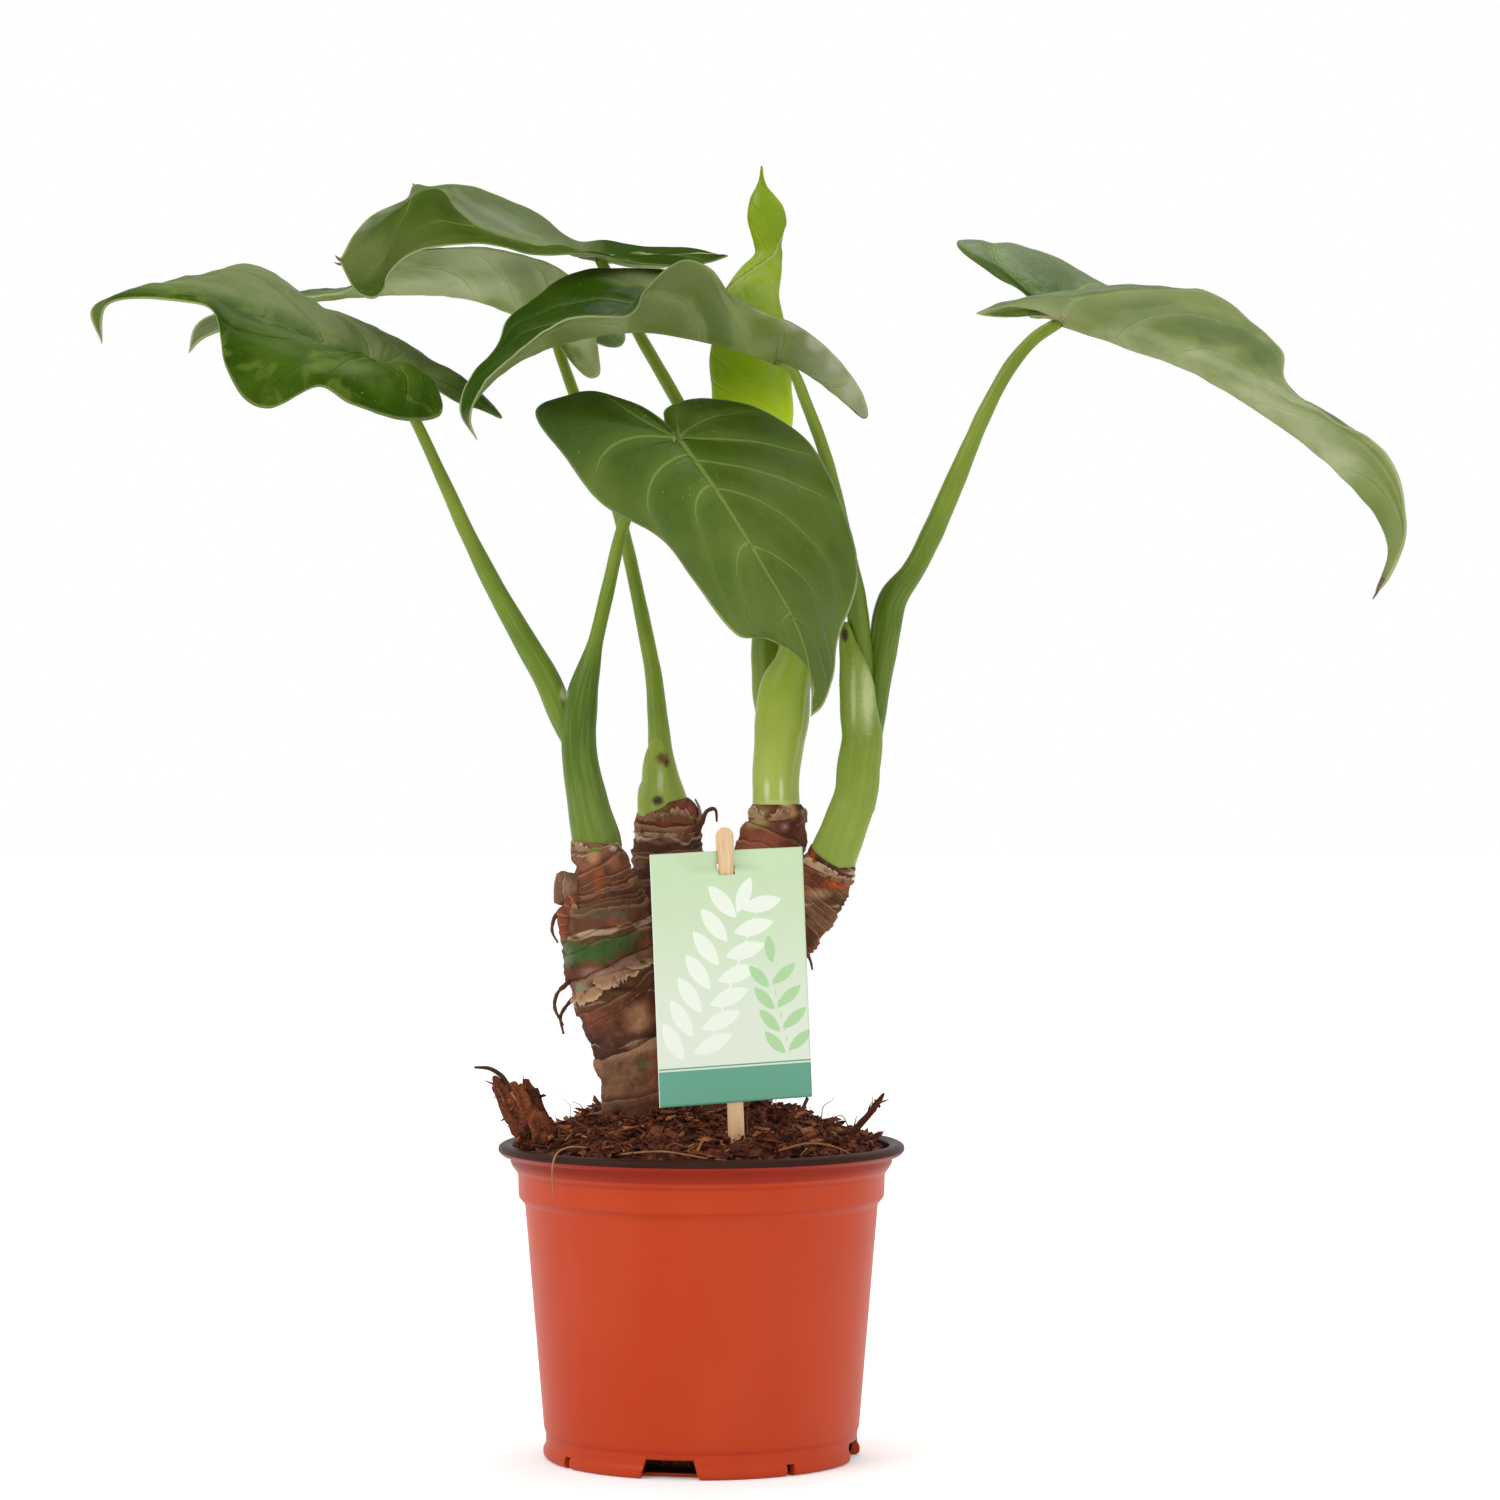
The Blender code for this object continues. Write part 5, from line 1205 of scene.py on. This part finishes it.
def make_pot():
    outside = rounded([*POT_OUTSIDE, POT_LIP[0]])[:-1]
    inside = rounded([POT_OUTSIDE[-1], *POT_LIP, *POT_INSIDE])[1:]
    points, faces = lathe([*outside, *inside], POT_SIDES)
    lip = (len(outside) - 2) * POT_SIDES
    pot = mesh_piece("pot_shell", points, faces, [POT_ORANGE, POT_GREY], [min(face) >= lip for face in faces])
    cutters = []
    for k in range(4):
        cutters.append(foot_cutter(*NOTCH, NOTCH_TURN + 90 * k))
        cutters.append(foot_cutter(*NICK, NOTCH_TURN + 90 * k + 45))
    for cutter in cutters:
        cut = pot.modifiers.new("notch", "BOOLEAN")
        cut.operation, cut.solver, cut.object = "DIFFERENCE", "EXACT", cutter
    graph = bpy.context.evaluated_depsgraph_get()
    mesh = bpy.data.meshes.new_from_object(pot.evaluated_get(graph))
    pot.modifiers.clear()
    pot.data = mesh
    for cutter in cutters:
        bpy.data.objects.remove(cutter)
    place(pot, "pot_plastic", "pot")


# Soil
SOIL_SIDES = 320
SOIL_UNDERSIDE = [(0, 1.5), (40.5, 1.5), (50.9, 12), (59.3, 87.4), (61.4, 90.6), (61.5, 97.8), (64.1, 101.6)]
SOIL_RADIUS, SOIL_EDGE, SOIL_RISE = 64.7, 103.5, 18
CHIP_COUNT, THREAD_COUNT = 3400, 420


def soil_height(x, y):
    radius = np.hypot(x, y)
    rise = 1 - (radius / SOIL_RADIUS) ** 2
    turn = np.arctan2(y, x)
    lumps = 0.7 * np.sin(3 * turn + radius / 9) + 0.5 * np.sin(7 * turn - radius / 5)
    flat = np.stack([x, y, np.zeros_like(x)], axis=-1)
    crumb = 0.9 * ripple(flat, 14, 3) + 0.8 * np.abs(ripple(flat, 7, 4))
    crumb = crumb + 0.5 * ripple(flat, 3.2, 5) + 0.3 * ripple(flat, 1.7, 6)
    return SOIL_EDGE + SOIL_RISE * rise + (1.6 * lumps + crumb) * np.clip(rise / 0.18, 0.15, 1)


def chip(heap, random, where, length, width, thick, tilt, tone):
    """One splinter of bark: a box with knocked corners."""
    box = np.array([(x, y, z) for x in (-1, 1) for y in (-1, 1) for z in (-1, 1)], float)
    box += random.normal(0, 0.28, box.shape)
    box[:4, 1:] *= random.uniform(0.35, 1)
    box[4:, 1:] *= random.uniform(0.35, 1)
    turned = np.array(Euler((random.normal(0, tilt), random.normal(0, tilt), random.uniform(0, 6.28))).to_matrix())
    points = (box * (length / 2, width / 2, thick / 2)) @ turned.T + where
    faces = [(0, 1, 3, 2), (4, 6, 7, 5), (0, 4, 5, 1), (2, 3, 7, 6), (0, 2, 6, 4), (1, 5, 7, 3)]
    heap.add(points, faces, tone=tone)


def fibre(heap, random, where, heading, length, radius, curl, tone, fall=0.0):
    """One thin curved thread of coir."""
    at, heading = np.array(where, float), unit(heading)
    guide = [(*at, radius)]
    steps = 6
    for k in range(steps):
        heading = unit(heading + random.normal(0, curl, 3) + (0, 0, -fall))
        at = at + heading * length / steps
        guide.append((*at, radius * (1 - 0.7 * (k + 1) / steps)))
    heap.add(*Tube(guide, 13, 4).closed(), tone=tone)


def soil_spot(random, reach):
    """A place on the soil within this radius."""
    radius, turn = reach * math.sqrt(random.random()), random.uniform(0, 2 * math.pi)
    x, y = radius * math.cos(turn), radius * math.sin(turn)
    return radius, x, y, float(soil_height(np.array(x), np.array(y)))


def make_soil():
    random = np.random.default_rng(5)
    radii = np.concatenate([np.linspace(64.0, 60, 8), np.linspace(59, 1.2, 62)])
    turns = np.arange(SOIL_SIDES) * 2 * math.pi / SOIL_SIDES
    x, y = radii[:, None] * np.cos(turns), radii[:, None] * np.sin(turns)
    profile = [*SOIL_UNDERSIDE, *[(r, 0) for r in radii], (0, 121)]
    points, faces = lathe(profile, SOIL_SIDES)
    start = (len(SOIL_UNDERSIDE) - 1) * SOIL_SIDES
    points[start:start + x.size, 2] = soil_height(x.ravel(), y.ravel())
    place(mesh_piece("soil_body", points, faces, [SOIL]), "potting_mix", "soil")
    chips = Heap()
    for _ in range(CHIP_COUNT):
        radius, x, y, z = soil_spot(random, 63.6)
        length = 1.6 + 7.5 * random.random() ** 3.5
        z += random.uniform(-0.2, 0.7)
        inward = 0.98 if radius > 60 else 1
        width, thick = length * random.uniform(0.2, 0.55), random.uniform(0.4, 1.4)
        chip(chips, random, (x * inward, y * inward, z), length, width, thick, 0.35, random.random() ** 1.4)
    threads = Heap()
    for _ in range(THREAD_COUNT):
        _, x, y, z = soil_spot(random, 58)
        heading = (random.normal(), random.normal(), random.uniform(0.0, 0.4))
        length, radius = random.uniform(5, 16), random.uniform(0.14, 0.32)
        fibre(threads, random, (x, y, z + 0.1), heading, length, radius, 0.35, random.random(), 0.16)
    for guide, tone in LOOSE_THREADS:
        threads.add(*Tube(guide, 40, 6).closed(), tone=tone)
    make_chunk(chips, threads, random)
    place(chips.piece("soil_chips", CHIPS, smooth=False), "potting_mix")
    place(threads.piece("soil_threads", FIBRE), "potting_mix")


def make_chunk(chips, threads, random):
    """The bundle of fibrous bark that stands up at the left, and the twig at the right."""
    for number, (guide, tone) in enumerate(CHUNKS):
        tube = Tube(guide, 60, 36)
        base = tube.points()
        grooves = np.sin(tube.turn * 6 + ripple(base, 12, number) * 1.6)
        tube.radius = tube.radius * (0.9 + 0.13 * grooves + 0.1 * ripple(base, 5, number))
        chips.add(*tube.closed(tube.points(lean=0.9 * ripple(base, 6, 30 + number))), tone=tone)
        path = smooth_path(guide, np.linspace(0, 1, 30))
        for _ in range(34 if number < 3 else 4):
            k = random.integers(2, 27)
            spoke = unit(np.append(random.normal(size=2), 0))
            where = path[k, :3] + spoke * path[k, 3] * random.uniform(0.7, 1.1)
            length, width, thick = random.uniform(1.5, 5), random.uniform(0.6, 1.8), random.uniform(0.4, 1.0)
            chip(chips, random, where, length, width, thick, 0.9, random.random() ** 1.2)
        for _ in range(16):
            k = random.integers(2, 27)
            spoke = unit(np.append(random.normal(size=2), 0))
            where = path[k, :3] + spoke * path[k, 3] * 0.8
            heading = unit(path[k + 2, :3] - path[k - 2, :3]) + spoke * random.uniform(0, 0.4)
            length, radius = random.uniform(2, 6), random.uniform(0.2, 0.5)
            fibre(threads, random, where, heading, length, radius, 0.15, random.random() * 0.7)


CHUNKS = [  # pieces of bark that stand up in the soil, (x, y, z, radius), and their tone
    ([(-53, -12, 101, 3.4), (-59.5, -13, 112, 4.2), (-65, -13, 121, 3.6), (-69, -12, 128, 2.4), (-71, -12, 131, 0.8)],
     0.5),
    ([(-49, -11, 100, 4.4), (-54.5, -14, 112, 5), (-60, -13, 120, 4.2), (-63.4, -12, 127, 3), (-64.4, -12, 130, 1)],
     0.65),
    ([(-47, -9, 101, 2.6), (-52, -11, 111, 3.2), (-56.4, -11, 120, 3), (-59, -11, 127, 2.4), (-60, -11, 131, 0.9)],
     0.4),
    ([*BARK_TWIG[:3], (61, -10, 123, 1.0), (62.4, -10, 125, 0.5)], 0.3),
]
LOOSE_THREADS = [
    ([(-64, -14, 125, 0.8), (-66.5, -13, 129.3, 0.8), (-68.4, -12, 131.6, 0.8), (-72.3, -12, 134, 0.7),
      (-77.6, -11, 134.4, 0.4)], 0.0),
    ([(-38, -46, 110, 0.35), (-43, -49.5, 110.6, 0.35), (-47.4, -52, 109, 0.3), (-48.9, -53.2, 105, 0.3),
      (-49, -53, 99, 0.25), (-48.6, -52.4, 93, 0.2)], 0.85),
    ([(-30, -52, 108, 0.4), (-12, -60, 110, 0.4), (2, -62, 108, 0.3), (10, -60, 107, 0.2)], 0.8),
    ([(25, -50, 109, 0.5), (36, -52, 112, 0.4), (44, -50, 111, 0.3), (52, -44, 107, 0.2)], 0.7),
]


def soil_finish(name, chips):
    f = Finish(name, 0.9, Specular_IOR_Level=0.15)
    if chips:
        browns = (0.0, (54, 25, 15)), (0.4, (92, 46, 28)), (0.75, (130, 70, 44)), (1.0, (172, 114, 70))
        f.tone = f.ramp(f.data("tone"), *browns)
        grain = f.noise(1.0, 3, f.vector("MULTIPLY", f.place, (0.5, 1.6, 1.6)))
        f.over((46, 26, 18), 0.5, f.fade(grain, 0.4, 0.7))
    else:
        f.tone = f.ramp(f.noise(2.2, 5), (0.3, (40, 18, 11)), (0.5, (76, 36, 22)), (0.7, (112, 60, 38)))
    return f.done(None, f.add(f.times(f.noise(0.9, 4), 0.5), f.times(f.cells(1.4), 0.4)))


# Care card and stick
CARD_WIDTH, CARD_HEIGHT, CARD_THICKNESS = 54.0, 84.0, 0.6
CARD_CENTRE = (10.5, -50.0, 167.5)
CARD_TURN = (0, math.radians(-2.4), math.radians(20))
SLOT_WIDTH, SLOT_HEIGHT, SLOT_MIDDLE = 5.8, 3.6, 35.8
STICK_WIDTH, STICK_THICKNESS = 6.2, 1.5
LEAFLETS = []  # drawn leaves of the card: (x, z, length, width, turn, light or middle tone)
for pair in range(7):
    LEAFLETS.append((-15 + 3.2 * pair - 6.5, -24 + 7.6 * pair + 3.5, 15, 5.4, 118 + 2 * pair, 0))
    LEAFLETS.append((-15 + 3.2 * pair + 7.5, -24 + 7.6 * pair + 2.0, 15, 5.4, 22 - 2 * pair, 0))
for pair in range(4):
    LEAFLETS.append((19 - 1.6 * pair - 4.5, -26 + 7.5 * pair + 3.0, 11, 3.8, 132, 1))
    LEAFLETS.append((19 - 1.6 * pair + 4.5, -26 + 7.5 * pair + 3.4, 11, 3.8, 38, 1))
LEAFLETS += [(-1, -4, 66, 0.7, 67, 0), (17, -14, 34, 0.6, 102, 1), (5.5, 27, 13, 5, 66, 0), (14, 8.5, 10, 3.6, 96, 1)]


def card_bend(across, height):
    """How far back the card bulges here, so that its top strip passes behind the stick."""
    back = STICK_THICKNESS + CARD_THICKNESS + 0.6
    low, high = SLOT_MIDDLE - SLOT_HEIGHT / 2, SLOT_MIDDLE + SLOT_HEIGHT / 2
    return back * step(height, low, high) * step(np.abs(across), 20, 5)


def ink(x, z, tone):
    """Distance to the nearest drawn leaf of this tone, below 0 inside one."""
    nearest = np.full(x.shape, 50.0)
    for cx, cz, length, width, turn, kind in LEAFLETS:
        if kind != tone:
            continue
        c, s = math.cos(math.radians(turn)), math.sin(math.radians(turn))
        p, q = (x - cx) * c + (z - cz) * s, -(x - cx) * s + (z - cz) * c
        inside = np.abs(q) - width / 2 * (1 - np.clip(2 * p / length, -1, 1) ** 2)
        beyond = np.maximum(np.abs(p) - length / 2, 0)
        nearest = np.minimum(nearest, np.hypot(np.maximum(inside, 0), beyond) + np.minimum(inside, 0))
    return nearest


def hang(obj):
    """Turns a shape made round the card's middle to where the card hangs."""
    turned = Euler(CARD_TURN).to_matrix().to_4x4()
    turned.translation = Vector(CARD_CENTRE) * MM
    obj.data.transform(turned)
    return obj


def make_card():
    half = SLOT_WIDTH / 2
    side, top = CARD_WIDTH / 2, CARD_HEIGHT / 2
    xs = [np.linspace(-side, -half, 30)[:-1], np.linspace(-half, half, 11), np.linspace(half, side, 30)[1:]]
    low, high = SLOT_MIDDLE - SLOT_HEIGHT / 2, SLOT_MIDDLE + SLOT_HEIGHT / 2
    zs = [np.linspace(-top, low, 88)[:-1], np.linspace(low, high, 13), np.linspace(high, top, 8)[1:]]
    xs, zs = np.concatenate(xs), np.concatenate(zs)
    x, z = np.meshgrid(xs, zs)
    bow = 0.35 * np.sin((x + 8) / 17) * (1 - np.abs(z - 20) / 90)
    y = card_bend(x, z) + bow * 0.6
    points = np.stack([x, y, z], axis=-1).reshape(-1, 3)
    columns = len(xs)
    faces = []
    for i in range(len(zs) - 1):
        for j in range(columns - 1):
            if low - 0.01 <= zs[i] and zs[i + 1] <= high + 0.01 and -half - 0.01 <= xs[j] and xs[j + 1] <= half + 0.01:
                continue
            a = i * columns + j
            faces.append((a, a + 1, a + columns + 1, a + columns))
    data = {"card_z": z.ravel(), "ink_light": ink(x, z, 0).ravel(), "ink_middle": ink(x, z, 1).ravel()}
    half_sheet = np.array((0, CARD_THICKNESS / 2, 0))
    points, faces, sides, data = two_sided(points - half_sheet, points + half_sheet, faces, data)
    card = mesh_piece("care_card_sheet", points, faces, [CARD_PRINT, CARD_PLAIN, CARD_PLAIN], sides, data)
    card.data.polygons.foreach_set("use_smooth", sides < 2)
    place(hang(card), "card", "care_card")


def card_finish(printed):
    f = Finish("card_print" if printed else "card_plain", 0.4 if printed else 0.6)
    f.tone = (224, 228, 218)
    if printed:
        z, light, middle = (f.data(name) for name in ("card_z", "ink_light", "ink_middle"))
        f.tone = f.mix(f.fade(z, -30, 42), (203, 211, 194), (180, 202, 164))
        f.over((216, 222, 208), 1.0, f.fade(light, 0.12, -0.12))
        f.over((158, 194, 142), 1.0, f.fade(middle, 0.12, -0.12))
        band = f.calc("MAXIMUM", f.fade(z, -30.2, -30.4), f.times(f.fade(z, -29.2, -29.3), f.fade(z, -29.8, -29.7)))
        f.over((80, 144, 118), 1.0, band)
    f.over((120, 130, 110), 0.05, f.noise(5, 3))
    rough = f.add(0.34 if printed else 0.55, f.times(f.noise(8, 2), 0.12))
    return f.done(rough, f.times(f.noise(0.5, 2), 0.015))


def stick_outline(inset):
    """The stick seen from the front: a round head, a narrower neck where it passes the card's slot, and a shank."""
    half = STICK_WIDTH / 2 - inset
    foot = (74 - CARD_CENTRE[2]) / math.cos(CARD_TURN[1]) + inset
    right = [(half * 0.86, foot), (half * 0.9, foot + 20), (half * 0.9, 24), (half * 0.84, 32), (half * 0.82, 40.6),
             (half * 0.84, 41.6), (half * 1.02, 42.2), (half, 43), (half * 1.02, 45), (half, 46.4)]
    arc = [(half * math.cos(a), 46.6 + (3.2 - inset) * math.sin(a)) for a in np.linspace(0.15, math.pi - 0.15, 13)]
    return [*right, *arc, *[(-x, z) for x, z in right[::-1]]]


def make_stick():
    layers = []
    for inset, depth in ((0.5, 0.0), (0.12, 0.12), (0.0, 0.4), (0.0, STICK_THICKNESS - 0.4),
                         (0.12, STICK_THICKNESS - 0.12), (0.5, STICK_THICKNESS)):
        layers.append([(x, CARD_THICKNESS / 2 + 0.3 + depth, z) for x, z in stick_outline(inset)])
    count = len(layers[0])
    points = np.array(layers).reshape(-1, 3)
    faces = [
        (i * count + j, (i + 1) * count + j, (i + 1) * count + (j + 1) % count, i * count + (j + 1) % count)
        for i in range(len(layers) - 1) for j in range(count)
    ]
    faces += [tuple(range(count)), tuple(range(len(points) - 1, len(points) - count - 1, -1))]
    stick = mesh_piece("card_stick_wood", points, faces, [WOOD], smooth=False)
    place(hang(stick), "stick_wood", "card_stick")


def wood_finish():
    f = Finish("birch", 0.6)
    along = f.vector("MULTIPLY", f.place, (1.0, 1.0, 0.045))
    grain = f.noise(0.55, 3, along, 0.4)
    pores = f.fade(f.noise(0.22, 2, f.vector("MULTIPLY", f.place, (1, 1, 0.09))), 0.62, 0.72)
    f.tone = f.mix(f.fade(grain, 0.35, 0.65), (214, 183, 144), (199, 161, 116))
    f.over((168, 120, 78), 0.4, pores)
    f.over((150, 96, 50), 0.6, f.fade(f.add(f.coordinate("Z"), f.times(f.noise(6, 2), 14)), 134, 118))
    return f.done(None, f.add(f.times(grain, 0.08), f.times(pores, -0.05)))


POT_ORANGE = pot_finish("pot_orange", (172, 54, 17), (182, 72, 38), 0.42, 0.14, [
    # painted shadow: the first line, dark red under the lip; the others are darker lines at the lower steps
    (99.5, 106, 0.75, (128, 24, 8)), (97.2, 98.4, 0.4, (140, 30, 10)), (88.4, 89.8, 0.35, (150, 34, 12)),
    (8.0, 9.4, 0.35, (150, 36, 14)),
])
POT_GREY = pot_finish("pot_grey", (46, 24, 17), (66, 44, 36), 0.4, 0.05)
SOIL, CHIPS = soil_finish("soil_crumb", False), soil_finish("soil_chip", True)
CARD_PRINT, CARD_PLAIN, WOOD = card_finish(True), card_finish(False), wood_finish()
make_pot()
make_soil()
make_card()
make_stick()


# Floor, lights and camera
FLOOR_SIDES, FLOOR_RADIUS = 96, 9000


def make_stage():
    f = Finish("floor_paper", 0.9, Specular_IOR_Level=0.1, Emission_Color=(1, 1, 1, 1), Emission_Strength=0.12)
    f.tone = f.mix(f.noise(400, 2), (242, 242, 241), (246, 246, 245))
    turns = np.arange(FLOOR_SIDES) * 2 * math.pi / FLOOR_SIDES
    points = np.stack([np.cos(turns), np.sin(turns), np.zeros(FLOOR_SIDES)], axis=1) * FLOOR_RADIUS
    floor = mesh_piece("floor", points, [tuple(range(FLOOR_SIDES))], [f.done()])
    world = bpy.data.worlds.new("studio")
    bpy.context.scene.world = world
    world.use_nodes = True
    world.node_tree.nodes["Background"].inputs["Color"].default_value = (1, 1, 1, 1)
    world.node_tree.nodes["Background"].inputs["Strength"].default_value = 1.0
    for name, where, size, power in LIGHTS:
        lamp = bpy.data.lights.new(name, "AREA")
        lamp.shape = "SQUARE"
        lamp.size = size
        lamp.energy = power
        obj = bpy.data.objects.new(name, lamp)
        obj.location = where
        obj.rotation_euler = (Vector(AIM) - Vector(where)).to_track_quat("-Z", "Y").to_euler()
        bpy.context.scene.collection.objects.link(obj)


def make_camera():
    camera = bpy.data.cameras.new("camera")
    camera.lens = FOCAL_PIXELS / PHOTO_SIDE * camera.sensor_width
    obj = bpy.data.objects.new("camera", camera)
    obj.location = CAMERA_AT
    obj.rotation_euler = (math.pi / 2, 0, 0)
    bpy.context.scene.collection.objects.link(obj)
    bpy.context.scene.camera = obj


AIM = (0.0, 0.0, 0.25)
LIGHTS = [
    ("key", (-1.2, -1.0, 1.6), 0.9, 15),
    ("fill", (1.7, -1.2, 0.9), 1.2, 4),
    ("top", (0.2, 0.6, 1.8), 0.9, 10),
]
FOCAL_PIXELS = 4350
PHOTO_SIDE = 1500
CAMERA_AT = (0.0167, -1.5, 0.243)
make_stage()
make_camera()
bpy.context.scene.view_settings.view_transform = "Standard"
